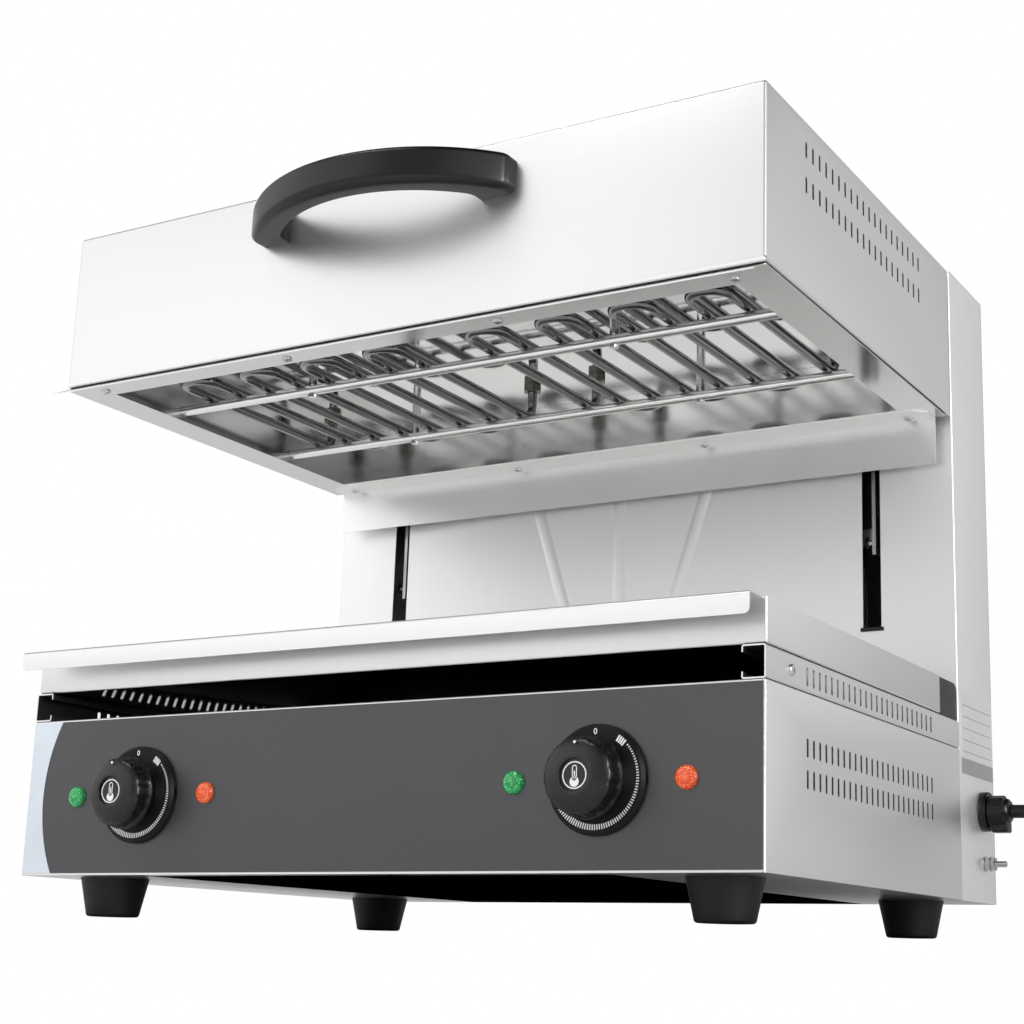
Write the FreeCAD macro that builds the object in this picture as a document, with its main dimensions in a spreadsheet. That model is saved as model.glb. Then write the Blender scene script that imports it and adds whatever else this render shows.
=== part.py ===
import FreeCAD, Part
import math
import os
import re
import Sketcher

# Lift salamander grill: a casing with two controls, a column with a counterbalanced
# carriage, and a heating hood that slides up and down on it over a grill pan.
#
# Every sub-part is drawn with y = 0 at the fascia and z = 0 at the casing's underside.
# Its Placement then moves it to the row's own frame, whose origin is on the worktop,
# on the mid-plane, half way between fascia and back. +X is right, +Y back, +Z up.

os.makedirs("parts", exist_ok=True)
doc = FreeCAD.newDocument("salamander_grill")
sheet = doc.addObject("Spreadsheet::Sheet", "sizes")

# Driving dimensions, in millimetres unless a note says otherwise.
SIZES = {
    "width": 600,
    "base_depth": 364,
    "base_height": 114,
    "column_depth": 85,
    "column_height": 503.5,
    "plate": 1,
    "gap": 0.3,
    "foot_height": 28,
    "foot_top": 25,
    "foot_tip": 19,
    "foot_edge": 2.5,
    "foot_side": 48,
    "foot_front": 48,
    "foot_back": 64,
    "foot_bore": 6.5,
    "foot_bore_depth": 14,
    "tray_margin": 110,
    "tray_rise": 5,
    "vent_width": 3,
    "vent_height": 12,
    "vent_pitch": 10.2,
    "vent_count": 24,
    "vent_start": 62.5,
    "vent_row_low": 54,
    "vent_row_high": 73.5,
    "film": 0.6,
    "film_edge": 1.5,
    "film_light": 30,
    "film_radius": 119,
    "knob_side": 112,
    "knob_level": 56.5,
    "knob_radius": 26,
    "knob_length": 26,
    "knob_crown": 4,
    "knob_skirt": 3,
    "knob_taper": 2.5,
    "knob_badge": 10,
    "badge_sink": 1.5,
    "flute_radius": 3,
    "flute_bite": 3.2,
    "flute_count": 14,
    "spindle_radius": 3,
    "spindle_depth": 14,
    "dial_radius": 34.5,
    "dial_thick": 5,
    "dial_edge": 2,
    "dial_bore": 7,
    "regulator_side": 46,
    "regulator_depth": 34,
    "pilot_offset": 61,
    "pilot_radius": 7.5,
    "pilot_neck": 4.8,
    "pilot_rim": 1.2,
    "pilot_bulge": 3.2,
    "pilot_length": 24,
    "hole_ease": 0.3,
    "channel_height": 21,
    "channel_width": 16,
    "channel_lip": 4,
    "channel_vent": 4,
    "channel_screw_y": 38.5,
    "pan_height": 28.5,
    "pan_depth": 320,
    "pan_set_back": 1.4,
    "pan_reach": 21,
    "pan_drop": 14,
    "rack_margin": 8,
    "rack_frame": 3,
    "rack_wire": 1.5,
    "rack_level": 20,
    "rack_count": 25,
    "buffer_width": 30,
    "slot_side": 69,
    "slot_width": 15.5,
    "lift_travel": 170,
    "slot_ease": 5,
    "bumper_lip": 1.8,
    "bumper_height": 3,
    "rib_width": 13,
    "rib_proud": 1.2,
    "rib_bottom": 200,
    "rib_short": 25.5,
    "rib_foot": 38,
    "rib_head": 126.5,
    "return_width": 12,
    "back_screw_low": 20,
    "back_screw_high": 24,
    "rod_radius": 5,
    "rod_inset": 23,
    "rod_set_back": 36,
    "rod_bottom": 25,
    "rod_short": 28.5,
    "rod_bracket": 12,
    "running": 0.05,
    "block_side": 24,
    "block_height": 30,
    "block_rise": 26,
    "block_spacing": 125,
    "carriage_plate": 3,
    "carriage_tail": 111,
    "carriage_back": 52,
    "carriage_front": 6,
    "arm_rise": 4.5,
    "arm_drop": 11.5,
    "arm_flange": 30,
    "arm_bolt_inset": 20,
    "arm_thick": 2.5,
    "beam_side": 12,
    "beam_rise": 11,
    "pulley_inset": 36,
    "pulley_drop": 48.5,
    "pulley_set_back": 38,
    "pulley_groove": 18,
    "pulley_rim": 22,
    "pulley_width": 9,
    "axle_radius": 3,
    "bracket_plate": 2,
    "rope_radius": 1.5,
    "weight_clear": 10,
    "weight_depth": 34,
    "weight_height": 117,
    "weight_bottom": 40,
    "weight_edge": 3,
    "hood_height": 123,
    "hood_clear": 3.5,
    "hood_side": 0.5,
    "hood_fold": 20,
    "hood_vent_pitch": 11.8,
    "hood_vent_count": 20,
    "hood_vent_start": 64.5,
    "hood_vent_low": 70,
    "hood_vent_high": 95.5,
    "flange_drop": 4.5,
    "flange_short": 10.5,
    "upstand_inset": 3,
    "lip_reach": 15.5,
    "lip_drop": 8,
    "liner_side": 29,
    "liner_front": 22,
    "liner_height": 64,
    "reflector_rise": 46,
    "reflector_edge": 8,
    "wool_height": 24,
    "wool_margin": 42,
    "apron_side": 9,
    "apron_height": 38,
    "apron_corner": 10,
    "screw_inner": 92,
    "screw_side": 28,
    "screw_front": 14,
    "screw_rear": 9,
    "screw_head": 3.8,
    "screw_cap": 2,
    "screw_shank": 2,
    "screw_length": 6,
    "bar_radius": 4,
    "bar_front": 101,
    "bar_rear": 78,
    "bar_rise": 8,
    "bar_overhang": 3,
    "element_radius": 4,
    "element_side": 30,
    "element_middle": 31,
    "element_front": 75,
    "element_rear": 63,
    "element_riser": 12,
    "element_legs": 8,
    "element_tail": 17,
    "fitting_radius": 8,
    "fitting_height": 6,
    "bead_radius": 5,
    "bead_height": 9,
    "pin_radius": 2,
    "pin_height": 9,
    "handle_half": 112,
    "handle_foot": 32,
    "handle_rise": 63,
    "handle_grip": 21,
    "handle_height": 23,
    "handle_level": 83,
    "handle_edge": 6,
    "handle_screw": 95,
    "bolt_radius": 2.5,
    "bolt_head": 4.5,
    "bolt_cap": 3,
    "bolt_depth": 10,
    "gland_back": 29,
    "gland_level": 70.5,
    "gland_flange": 15.5,
    "gland_flange_thick": 6,
    "gland_radius": 12.5,
    "gland_length": 17,
    "gland_bush": 10,
    "gland_nut": 14,
    "gland_nut_thick": 6,
    "gland_clamp_drop": 4,
    "earth_back": 27.5,
    "earth_level": 30,
    "earth_radius": 2.5,
    "earth_length": 17.5,
    "earth_nut": 4.6,
    "earth_nut_thick": 4,
    "terminal_width": 44,
    "terminal_depth": 24,
    "terminal_height": 30,
    "terminal_rise": 8,
    "cord_radius": 5.2,
    "coil_turns": 2,
    "coil_radius": 57.5,
    "coil_step": 11,
    "coil_leave": 40,
    "plug_length": 46,
    "plug_radius": 18.5,
    "plug_pin_spacing": 19,
    "plug_pin_radius": 2.4,
    "plug_pin_length": 19,
}

# Places that follow from the driving dimensions.
PLACES = {
    "half": "width/2",
    "depth": "base_depth+column_depth",
    "channel_top": "base_height+channel_height",
    "pan_floor": "channel_top+gap",
    "pan_top": "pan_floor+pan_height",
    "pan_back": "pan_set_back+pan_depth",
    "buffer_depth": "base_depth-pan_back-4*gap",
    "film_top": "base_height-film_edge",
    "knob_x": "half-knob_side",
    "dial_face": "film+dial_thick",
    "knob_back": "dial_face+gap",
    "slot_x": "half-slot_side",
    "rod_x": "slot_x-rod_inset",
    "rod_y": "base_depth+rod_set_back",
    "rod_top": "column_height-rod_short",
    "rib_top": "column_height-rib_short",
    "weight_half": "rod_x-block_side/2-weight_clear",
    "pulley_x": "weight_half-pulley_inset",
    "pulley_y": "base_depth+pulley_set_back",
    "pulley_level": "column_height-pulley_drop",
    "rope_ring": "pulley_groove+rope_radius+gap",
    "weight_y": "pulley_y+rope_ring",
    "hood_half": "half-hood_side",
    "hood_depth": "base_depth-hood_clear",
    "hood_top": "column_height",
    "hood_level": "hood_top-hood_height",
    "arm_low": "hood_level+arm_rise",
    "arm_high": "hood_top-arm_drop",
    "slot_bottom": "arm_low-lift_travel-slot_ease",
    "slot_top": "arm_high+2*plate",
    "carriage_bottom": "arm_low-carriage_tail",
    "block_low": "carriage_bottom+block_rise",
    "block_high": "block_low+block_spacing",
    "beam_level": "carriage_bottom+beam_rise",
    "flange": "hood_level-flange_drop",
    "flange_back": "hood_depth-flange_short",
    "liner_half": "half-liner_side",
    "liner_back": "flange_back-liner_side",
    "apron_front": "liner_back+2*plate",
    "screw_outer": "half-screw_side",
    "screw_back": "flange_back-screw_rear",
    "reflector": "flange+reflector_rise",
    "bar_back": "liner_back-bar_rear",
    "bar_level": "flange+bar_rise",
    "element_far": "liner_half-element_side",
    "element_pitch": "(element_far-element_middle)/(element_legs-1)",
    "element_back": "liner_back-element_rear",
    "element_end": "element_back-2*element_radius",
    "element_level": "bar_level+bar_radius+element_radius+gap",
    "hanger_x": "element_middle+3.5*element_pitch",
    "riser_y": "element_end+element_riser",
    "gland_y": "depth-gland_back",
    "earth_y": "depth-earth_back",
    "handle_middle": "hood_level+handle_level",
}

row = 0
for size, value in SIZES.items():
    row += 1
    sheet.set(f"A{row}", size)
    sheet.set(f"B{row}", str(value))
    sheet.setAlias(f"B{row}", size)
doc.recompute()

kept = []


def expression(text):
    """Turns a formula in size and place names into one that reads the sheet."""

    def spelled(found):
        word = found.group()
        if word in PLACES:
            return "(" + expression(PLACES[word]) + ")"
        return "sizes." + word if word in SIZES else word

    return re.sub(r"[a-z][a-z_]*", spelled, text)


def number(text):
    return float(sheet.evalExpression(expression(text)))


def bind(thing, **formulas):
    for key, text in formulas.items():
        thing.setExpression(key, expression(text))


def shift(thing, x="0", y="0", z="0"):
    """Binds a placement's position."""
    thing.setExpression("Placement.Base.x", expression(x))
    thing.setExpression("Placement.Base.y", expression(y))
    thing.setExpression("Placement.Base.z", expression(z))


def keep(thing, name, x="0", y="0", z="0"):
    """Names a finished sub-part and seats its own zero in the row's frame."""
    thing.Label = name
    shift(thing, x, y + "-depth/2", z + "+foot_height")
    kept.append(thing)
    return thing


# Sketches and features of a body


def origin(owner, role):
    return next(f for f in owner.Origin.OriginFeatures if f.Role == role)


def blank(owner, role, rise):
    sketch = owner.newObject("Sketcher::SketchObject", owner.Name + "_sketch")
    sketch.AttachmentSupport = (origin(owner, role), "")
    sketch.MapMode = "FlatFace"
    sketch.setExpression("AttachmentOffset.Base.z", expression(rise))
    return sketch


def pin_point(sketch, edge, end, u, v):
    for kind, text in (("DistanceX", u), ("DistanceY", v)):
        fixed = Sketcher.Constraint(kind, -1, 1, edge, end, number(text))
        index = sketch.addConstraint(fixed)
        sketch.setExpression(f"Constraints[{index}]", expression(text))


def arc_between(start, finish, radius, anticlockwise):
    chord = finish - start
    side = FreeCAD.Vector(-chord.y, chord.x, 0).normalize()
    if not anticlockwise:
        side = -side
    centre = (start + finish) / 2 + side * math.sqrt(radius**2 - (chord.Length / 2) ** 2)
    first, last = (start, finish) if anticlockwise else (finish, start)
    angles = [math.atan2(p.y - centre.y, p.x - centre.x) for p in (first, last)]
    circle = Part.Circle(centre, FreeCAD.Vector(0, 0, 1), radius)
    return Part.ArcOfCircle(circle, angles[0], angles[1])


def outline(owner, role, *loops, rise="0"):
    """Closed loops of corners. A corner with a radius starts an arc, left turning if True."""
    sketch = blank(owner, role, rise)
    for corners in loops:
        spots = [FreeCAD.Vector(number(c[0]), number(c[1]), 0) for c in corners]
        ends = []
        for i, corner in enumerate(corners):
            start, finish = spots[i], spots[(i + 1) % len(spots)]
            if len(corner) == 2:
                edge = sketch.addGeometry(Part.LineSegment(start, finish), False)
                ends.append((edge, 1, 2))
                continue
            curve = arc_between(start, finish, number(corner[2]), corner[3])
            edge = sketch.addGeometry(curve, False)
            index = sketch.addConstraint(Sketcher.Constraint("Radius", edge, number(corner[2])))
            sketch.setExpression(f"Constraints[{index}]", expression(corner[2]))
            ends.append((edge, 1, 2) if corner[3] else (edge, 2, 1))
        for i, (edge, first, last) in enumerate(ends):
            after, after_first, _ = ends[(i + 1) % len(ends)]
            sketch.addConstraint(Sketcher.Constraint("Coincident", edge, last, after, after_first))
        for (edge, first, _), corner in zip(ends, corners):
            pin_point(sketch, edge, first, corner[0], corner[1])
    return sketch


def oblong(left, low, right, high):
    return [(left, low), (right, low), (right, high), (left, high)]


def discs(owner, role, spots, rise="0"):
    """Circles, each given as across, up and radius."""
    sketch = blank(owner, role, rise)
    for u, v, radius in spots:
        centre = FreeCAD.Vector(number(u), number(v), 0)
        edge = sketch.addGeometry(Part.Circle(centre, FreeCAD.Vector(0, 0, 1), number(radius)), False)
        index = sketch.addConstraint(Sketcher.Constraint("Radius", edge, number(radius)))
        sketch.setExpression(f"Constraints[{index}]", expression(radius))
        pin_point(sketch, edge, 3, u, v)
    return sketch


def body(name):
    return doc.addObject("PartDesign::Body", name)


def feature(owner, kind, sketch=None):
    made = owner.newObject("PartDesign::" + kind, owner.Name + "_" + kind.lower())
    if sketch:
        made.Profile = sketch
        sketch.Visibility = False
    owner.Tip = made
    return made


def pad(owner, sketch, length, back=False, centred=False):
    made = feature(owner, "Pad", sketch)
    made.Reversed = back
    made.Midplane = centred
    bind(made, Length=length)
    return made


def pocket(owner, sketch, depth=None, back=False):
    """Cuts to a depth, or right through both ways, and makes sure that it removed something."""
    doc.recompute()
    before = owner.Shape.Volume
    made = feature(owner, "Pocket", sketch)
    made.Reversed = back
    if depth is None:
        made.Type = "ThroughAll"
        made.Midplane = True
    else:
        bind(made, Length=depth)
    doc.recompute()
    if owner.Shape.Volume > before - 0.001:
        raise RuntimeError(owner.Name + ": a pocket cuts nothing")
    return made


def revolve(owner, sketch, role):
    made = feature(owner, "Revolution", sketch)
    made.ReferenceAxis = (origin(owner, role), [""])
    made.Angle = 360
    return made


def repeat(owner, original, role, length, count):
    made = feature(owner, "LinearPattern")
    made.Originals = [original]
    made.Direction = (origin(owner, role), [""])
    bind(made, Length=length, Occurrences=count)
    return made


def repeat_round(owner, original, role, count):
    made = feature(owner, "PolarPattern")
    made.Originals = [original]
    made.Axis = (origin(owner, role), [""])
    made.Angle = 360
    bind(made, Occurrences=count)
    return made


def soften(owner, radius, wanted, kind="Fillet"):
    """Rounds or bevels the edges of the body so far that wanted(edge) picks."""
    doc.recompute()
    base = owner.Tip
    names = [f"Edge{i + 1}" for i, edge in enumerate(base.Shape.Edges) if wanted(edge)]
    made = feature(owner, kind)
    made.Base = (base, names)
    bind(made, **{"Radius" if kind == "Fillet" else "Size": radius})
    return made


# Plain solids and booleans

TURNS = {
    "x": FreeCAD.Rotation(FreeCAD.Vector(0, 1, 0), 90),
    "y": FreeCAD.Rotation(FreeCAD.Vector(1, 0, 0), -90),
    "z": FreeCAD.Rotation(),
}


def block(name, x, y, z, length, width, height):
    made = doc.addObject("Part::Box", name)
    bind(made, Length=length, Width=width, Height=height)
    shift(made, x, y, z)
    return made


def drum(name, radius, length, x, y, z, along="z"):
    made = doc.addObject("Part::Cylinder", name)
    made.Placement = FreeCAD.Placement(FreeCAD.Vector(), TURNS[along])
    bind(made, Radius=radius, Height=length)
    shift(made, x, y, z)
    return made


def less(name, base, *tools):
    made = doc.addObject("Part::Cut", name)
    made.Base = base
    made.Tool = tools[0] if len(tools) == 1 else joined(name + "_tools", *tools)
    return made


def joined(name, *pieces):
    made = doc.addObject("Part::MultiFuse", name)
    made.Shapes = list(pieces)
    return made


def group(name, pieces):
    made = doc.addObject("Part::Compound", name)
    made.Links = list(pieces)
    return made


def softened(name, base, radius, wanted):
    doc.recompute()
    made = doc.addObject("Part::Fillet", name)
    made.Base = base
    size = number(radius)
    made.Edges = [(i + 1, size, size) for i, edge in enumerate(base.Shape.Edges) if wanted(edge)]
    return made


def screw(name, x, y, z, along, toward, head, cap, shank, length):
    """A headed screw: (x, y, z) is where the head meets the sheet; its head is on the toward side."""
    head_at, shank_at = [], []
    for axis, place in zip("xyz", (x, y, z)):
        head_at.append(place + (f"-({cap})" if axis == along and toward < 0 else ""))
        shank_at.append(place + (f"-({length})" if axis == along and toward > 0 else ""))
    top = drum(name + "_head", head, cap, *head_at, along)
    stem = drum(name + "_shank", shank, length, *shank_at, along)
    return joined(name, top, stem)


def formed(name, shape):
    """A sub-part whose solid comes from curves that no feature draws."""
    made = doc.addObject("Part::Feature", name)
    made.Shape = shape
    return made


SIDES = (("left", "-1"), ("right", "1"))


# Casing: front, sides and deck are one folded sheet, open below and behind


def base_shell():
    shell = body("base_shell")
    pad(shell, outline(shell, "XY_Plane", oblong("-half", "0", "half", "base_depth")), "base_height")
    room = oblong("plate-half", "plate", "half-plate", "base_depth+plate")
    pocket(shell, outline(shell, "XY_Plane", room), "base_height-plate", back=True)
    rows = [
        oblong("vent_start", low, "vent_start+vent_width", low + "+vent_height")
        for low in ("vent_row_low", "vent_row_high")
    ]
    vents = pocket(shell, outline(shell, "YZ_Plane", *rows))
    repeat(shell, vents, "Y_Axis", "vent_pitch*(vent_count-1)", "vent_count")
    doc.recompute()
    pocket(shell, discs(shell, "XZ_Plane", fascia_holes(), rise="plate"), "3*plate")
    keep(shell, "base_shell")


def fascia_holes():
    """The spindle and lamp holes that the casing's front and its film share."""
    holes = []
    for _, side in SIDES:
        middle = side + "*knob_x"
        holes.append((middle, "knob_level", "spindle_radius+2*hole_ease"))
        for hand in ("-", "+"):
            holes.append((middle + hand + "pilot_offset", "knob_level", "pilot_neck+hole_ease"))
    return holes


def base_plate():
    bottom = body("base_plate")
    inset = "(half-plate-gap)"
    edge = oblong("-" + inset, "plate+gap", inset, "depth-2*plate-gap")
    pad(bottom, outline(bottom, "XY_Plane", edge), "plate")
    raised = oblong("tray_margin-half", "tray_margin", "half-tray_margin", "base_depth-tray_margin")
    pad(bottom, outline(bottom, "XY_Plane", raised), "tray_rise+plate")
    hollow = oblong(
        "tray_margin-half+plate", "tray_margin+plate",
        "half-tray_margin-plate", "base_depth-tray_margin-plate",
    )
    pocket(bottom, outline(bottom, "XY_Plane", hollow), "tray_rise", back=True)
    holes = [(x, y, "screw_shank+hole_ease") for x, y in foot_places()]
    pocket(bottom, discs(bottom, "XY_Plane", holes))
    keep(bottom, "base_plate")


# Fascia: a printed film in two tints, parted by an arc near the left end


def fascia_films():
    arc_end = "film_light-half"
    dark = body("fascia_dark")
    corners = [
        (arc_end, "film_top", "film_radius", True),
        (arc_end, "film_edge"),
        ("half-film_edge", "film_edge"),
        ("half-film_edge", "film_top"),
    ]
    pad(dark, outline(dark, "XZ_Plane", corners), "film")
    pocket(dark, discs(dark, "XZ_Plane", fascia_holes(), rise="2*film"), "4*film")
    keep(dark, "fascia_dark")
    light = body("fascia_light")
    corners = [
        (arc_end + "-gap", "film_top", "film_radius", True),
        (arc_end + "-gap", "film_edge"),
        ("film_edge-half", "film_edge"),
        ("film_edge-half", "film_top"),
    ]
    pad(light, outline(light, "XZ_Plane", corners), "film")
    keep(light, "fascia_light")


# Feet: tapered rubber, each on a screw that runs up a counterbore through the bottom plate


def foot_places():
    return [
        (side + "*(half-foot_side)", y)
        for _, side in SIDES
        for y in ("foot_front", "depth-foot_back")
    ]


def feet():
    made, screws = [], []
    for i, (x, y) in enumerate(foot_places()):
        cone = doc.addObject("Part::Cone", f"foot_cone_{i}")
        bind(cone, Radius1="foot_tip", Radius2="foot_top", Height="foot_height")
        shift(cone, x, y, "-foot_height")
        rounded = softened(
            f"foot_round_{i}", cone, "foot_edge", lambda edge: edge.BoundBox.ZMax < 1 - number("foot_height")
        )
        bore = drum(f"foot_bore_{i}", "foot_bore", "foot_bore_depth", x, y, "-foot_height")
        hole = drum(f"foot_hole_{i}", "screw_shank+hole_ease", "foot_height", x, y, "-foot_height")
        made.append(less(f"foot_{i}", rounded, bore, hole))
        seat = "foot_bore_depth-foot_height"
        stem = "foot_height-foot_bore_depth+3*plate"
        bolt = screw(
            f"foot_bolt_{i}", x, y, seat, "z", -1, "foot_bore-plate", "screw_cap", "screw_shank", stem
        )
        nut = drum(f"foot_nut_{i}", "screw_head", "screw_cap", x, y, "plate")
        screws.append(joined(f"foot_screw_{i}", bolt, nut))
    keep(group("feet", made), "feet")
    keep(group("foot_screws", screws), "foot_screws")


# Side channels: C sections with vents that carry the pan and leave the crumb slot open in front


def side_channel(name, side):
    channel = body(name)
    out = side + "*half"
    web = side + "*(half-plate)"
    lip_out = side + "*(half-channel_width)"
    lip_in = side + "*(half-channel_width+plate)"
    section = [
        (out, "base_height"),
        (out, "channel_top"),
        (lip_out, "channel_top"),
        (lip_out, "channel_top-channel_lip"),
        (lip_in, "channel_top-channel_lip"),
        (lip_in, "channel_top-plate"),
        (web, "channel_top-plate"),
        (web, "base_height+plate"),
        (lip_in, "base_height+plate"),
        (lip_in, "base_height+channel_lip"),
        (lip_out, "base_height+channel_lip"),
        (lip_out, "base_height"),
    ]
    pad(channel, outline(channel, "XZ_Plane", section), "base_depth", back=True)
    low = "base_height+channel_vent"
    slot = oblong("vent_start", low, "vent_start+vent_width", low + "+vent_height")
    inward = side == "-1"
    vents = pocket(channel, outline(channel, "YZ_Plane", slot, rise=out), "2*plate", back=inward)
    repeat(channel, vents, "Y_Axis", "vent_pitch*(vent_count-1)", "vent_count")
    hole = [("channel_screw_y", "base_height+channel_height/2", "screw_shank+hole_ease")]
    pocket(channel, discs(channel, "YZ_Plane", hole, rise=out), "2*plate", back=inward)
    keep(channel, name)


def panel_screws():
    """Pan-head screws: one at the front of each channel, eight round the column's back."""
    made = []
    for name, side in SIDES:
        x = side + "*half"
        made.append(
            screw(
                f"channel_screw_{name}", x, "channel_screw_y", "base_height+channel_height/2",
                "x", int(side), "screw_head", "screw_cap", "screw_shank", "screw_length",
            )
        )
    for i, (x, z) in enumerate(back_screw_places()):
        made.append(
            screw(
                f"back_screw_{i}", x, "depth", z, "y", 1,
                "screw_head", "screw_cap", "screw_shank", "screw_length",
            )
        )
    keep(group("panel_screws", made), "panel_screws")


# Buffers: rubber blocks behind the pan that the lowered hood would meet


def rear_buffers():
    made = []
    for name, side in SIDES:
        start = "-half+plate" if side == "-1" else "half-plate-buffer_width"
        shape = block(
            f"buffer_block_{name}", start, "pan_back+2*gap", "channel_top",
            "buffer_width", "buffer_depth", "pan_height",
        )
        crown = lambda edge: edge.BoundBox.ZMin > number("channel_top+pan_height") - 0.1 and (
            edge.BoundBox.YMin > number("pan_back+buffer_depth")
        )
        made.append(softened(f"buffer_{name}", shape, "buffer_depth/5", crown))
    keep(group("rear_buffers", made), "rear_buffers")


# Column: a folded front with returns behind, a back cover and a cap


def column_wrap():
    wrap = body("column_wrap")
    back = "depth-plate"
    lip = "half-return_width"
    section = [
        ("-half", "base_depth"),
        ("half", "base_depth"),
        ("half", back),
        (lip, back),
        (lip, back + "-plate"),
        ("half-plate", back + "-plate"),
        ("half-plate", "base_depth+plate"),
        ("plate-half", "base_depth+plate"),
        ("plate-half", back + "-plate"),
        ("-(" + lip + ")", back + "-plate"),
        ("-(" + lip + ")", back),
        ("-half", back),
    ]
    pad(wrap, outline(wrap, "XY_Plane", section), "column_height-plate")
    front = "-base_depth"
    fan = [
        oblong("-rib_width/2", "rib_bottom", "rib_width/2", "rib_top"),
        [
            ("-rib_foot-rib_width/2", "rib_bottom"),
            ("rib_width/2-rib_foot", "rib_bottom"),
            ("rib_width/2-rib_head", "rib_top"),
            ("-rib_head-rib_width/2", "rib_top"),
        ],
        [
            ("rib_foot-rib_width/2", "rib_bottom"),
            ("rib_foot+rib_width/2", "rib_bottom"),
            ("rib_head+rib_width/2", "rib_top"),
            ("rib_head-rib_width/2", "rib_top"),
        ],
    ]
    pad(wrap, outline(wrap, "XZ_Plane", *fan, rise=front), "rib_proud")
    doc.recompute()
    proud = number("base_depth-rib_proud")
    soften(wrap, "rib_proud*0.8", lambda e: e.BoundBox.YMax < proud + 0.01, "Chamfer")
    slots = [
        oblong(f"{s}*slot_x-slot_width/2", "slot_bottom", f"{s}*slot_x+slot_width/2", "slot_top")
        for _, s in SIDES
    ]
    pocket(wrap, outline(wrap, "XZ_Plane", *slots, rise="2*plate-base_depth"), "4*plate")
    passage = oblong("plate-half", "-plate", "half-plate", "base_height-return_width")
    pocket(wrap, outline(wrap, "XZ_Plane", passage, rise="plate-base_depth"), "3*plate")
    openings = [
        ("gland_y", "gland_level", "gland_bush+hole_ease"),
        ("earth_y", "earth_level", "earth_radius+hole_ease"),
    ]
    pocket(wrap, discs(wrap, "YZ_Plane", openings, rise="half+plate"), "3*plate")
    holes = [(x, z, "screw_shank+hole_ease") for x, z in back_screw_places()]
    pocket(wrap, discs(wrap, "XZ_Plane", holes, rise="-depth"), "3*plate", back=True)
    keep(wrap, "column_wrap")


def back_screw_places():
    return [
        (side + "*(half-return_width/2)", z)
        for _, side in SIDES
        for z in ("back_screw_low", "column_height/3", "2*column_height/3", "column_height-back_screw_high")
    ]


def column_back():
    cover = body("column_back")
    panel = oblong("-half", "0", "half", "column_height-plate")
    pad(cover, outline(cover, "XZ_Plane", panel, rise="-depth"), "plate")
    holes = [(x, z, "screw_shank+hole_ease") for x, z in back_screw_places()]
    pocket(cover, discs(cover, "XZ_Plane", holes, rise="2*plate-depth"), "4*plate")
    keep(cover, "column_back")


def column_cap():
    cap = body("column_cap")
    lid = oblong("-half", "base_depth", "half", "depth")
    pad(cap, outline(cap, "XY_Plane", lid, rise="column_height-plate"), "plate")
    keep(cap, "column_cap")


def slot_bumpers():
    made = []
    for name, side in SIDES:
        middle = side + "*slot_x"
        lip = block(
            f"bumper_lip_{name}", middle + "-slot_width/2-bumper_lip", "base_depth-rib_proud", "slot_bottom",
            "slot_width+2*bumper_lip", "rib_proud", "bumper_height",
        )
        plug = block(
            f"bumper_plug_{name}", middle + "-slot_width/2+gap", "base_depth-rib_proud", "slot_bottom",
            "slot_width-2*gap", "rib_proud+2*plate", "bumper_height",
        )
        made.append(joined(f"bumper_{name}", lip, plug))
    keep(group("slot_bumpers", made), "slot_bumpers")


# Lift: rods, carriage, ropes over pulleys and a counterweight, all inside the column


def guide_rods():
    rods, brackets = [], []
    for name, side in SIDES:
        x = side + "*rod_x"
        rods.append(drum(f"rod_{name}", "rod_radius", "rod_top-rod_bottom", x, "rod_y", "rod_bottom"))
        for level, z in (("low", "rod_bottom"), ("high", "rod_top-rod_bracket")):
            arm = block(
                f"rod_arm_{name}_{level}", x + "-block_side/2", "base_depth+plate", z,
                "block_side", "rod_set_back-plate+block_side/2", "rod_bracket",
            )
            bore = drum(
                f"rod_seat_{name}_{level}", "rod_radius+running", "rod_bracket+2*plate",
                x, "rod_y", z + "-plate",
            )
            brackets.append(less(f"rod_bracket_{name}_{level}", arm, bore))
    keep(group("guide_rods", rods), "guide_rods")
    keep(group("rod_brackets", brackets), "rod_brackets")


def carriage(name, side):
    """A plate on edge behind each slot; its arm reaches through and turns flat behind the hood."""
    made = body(name)
    x = side + "*slot_x"
    front = "base_depth+carriage_front"
    back = "base_depth+carriage_back"
    edge = [
        ("hood_depth+gap", "arm_low"),
        (front, "arm_low"),
        (front, "carriage_bottom"),
        (back, "carriage_bottom"),
        (back, "arm_high"),
        ("hood_depth+gap", "arm_high"),
    ]
    pad(made, outline(made, "YZ_Plane", edge, rise=x), "carriage_plate", centred=True)
    flat = oblong(x + "-arm_flange/2", "arm_low", x + "+arm_flange/2", "arm_high")
    pad(made, outline(made, "XZ_Plane", flat, rise="-hood_depth-gap"), "arm_thick", back=True)
    holes = [(hx, hz, "bolt_radius+hole_ease") for hx, hz in arm_bolt_places(side)]
    pocket(made, discs(made, "XZ_Plane", holes, rise="-hood_depth+plate"), "arm_thick+3*plate")
    spots = [("rod_y", z, "bolt_radius+hole_ease") for z in block_middles()]
    pocket(made, discs(made, "YZ_Plane", spots, rise=x), None)
    keep(made, name)


def arm_bolt_places(side):
    """Two bolts beside the upright plate, one low and one high."""
    spots = []
    for z in ("arm_low+arm_bolt_inset", "arm_high-arm_bolt_inset"):
        for hand in ("-", "+"):
            spots.append((side + "*slot_x" + hand + "arm_flange/3", z))
    return spots


def block_middles():
    return [low + "+block_height/2" for low in ("block_low", "block_high")]


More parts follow.
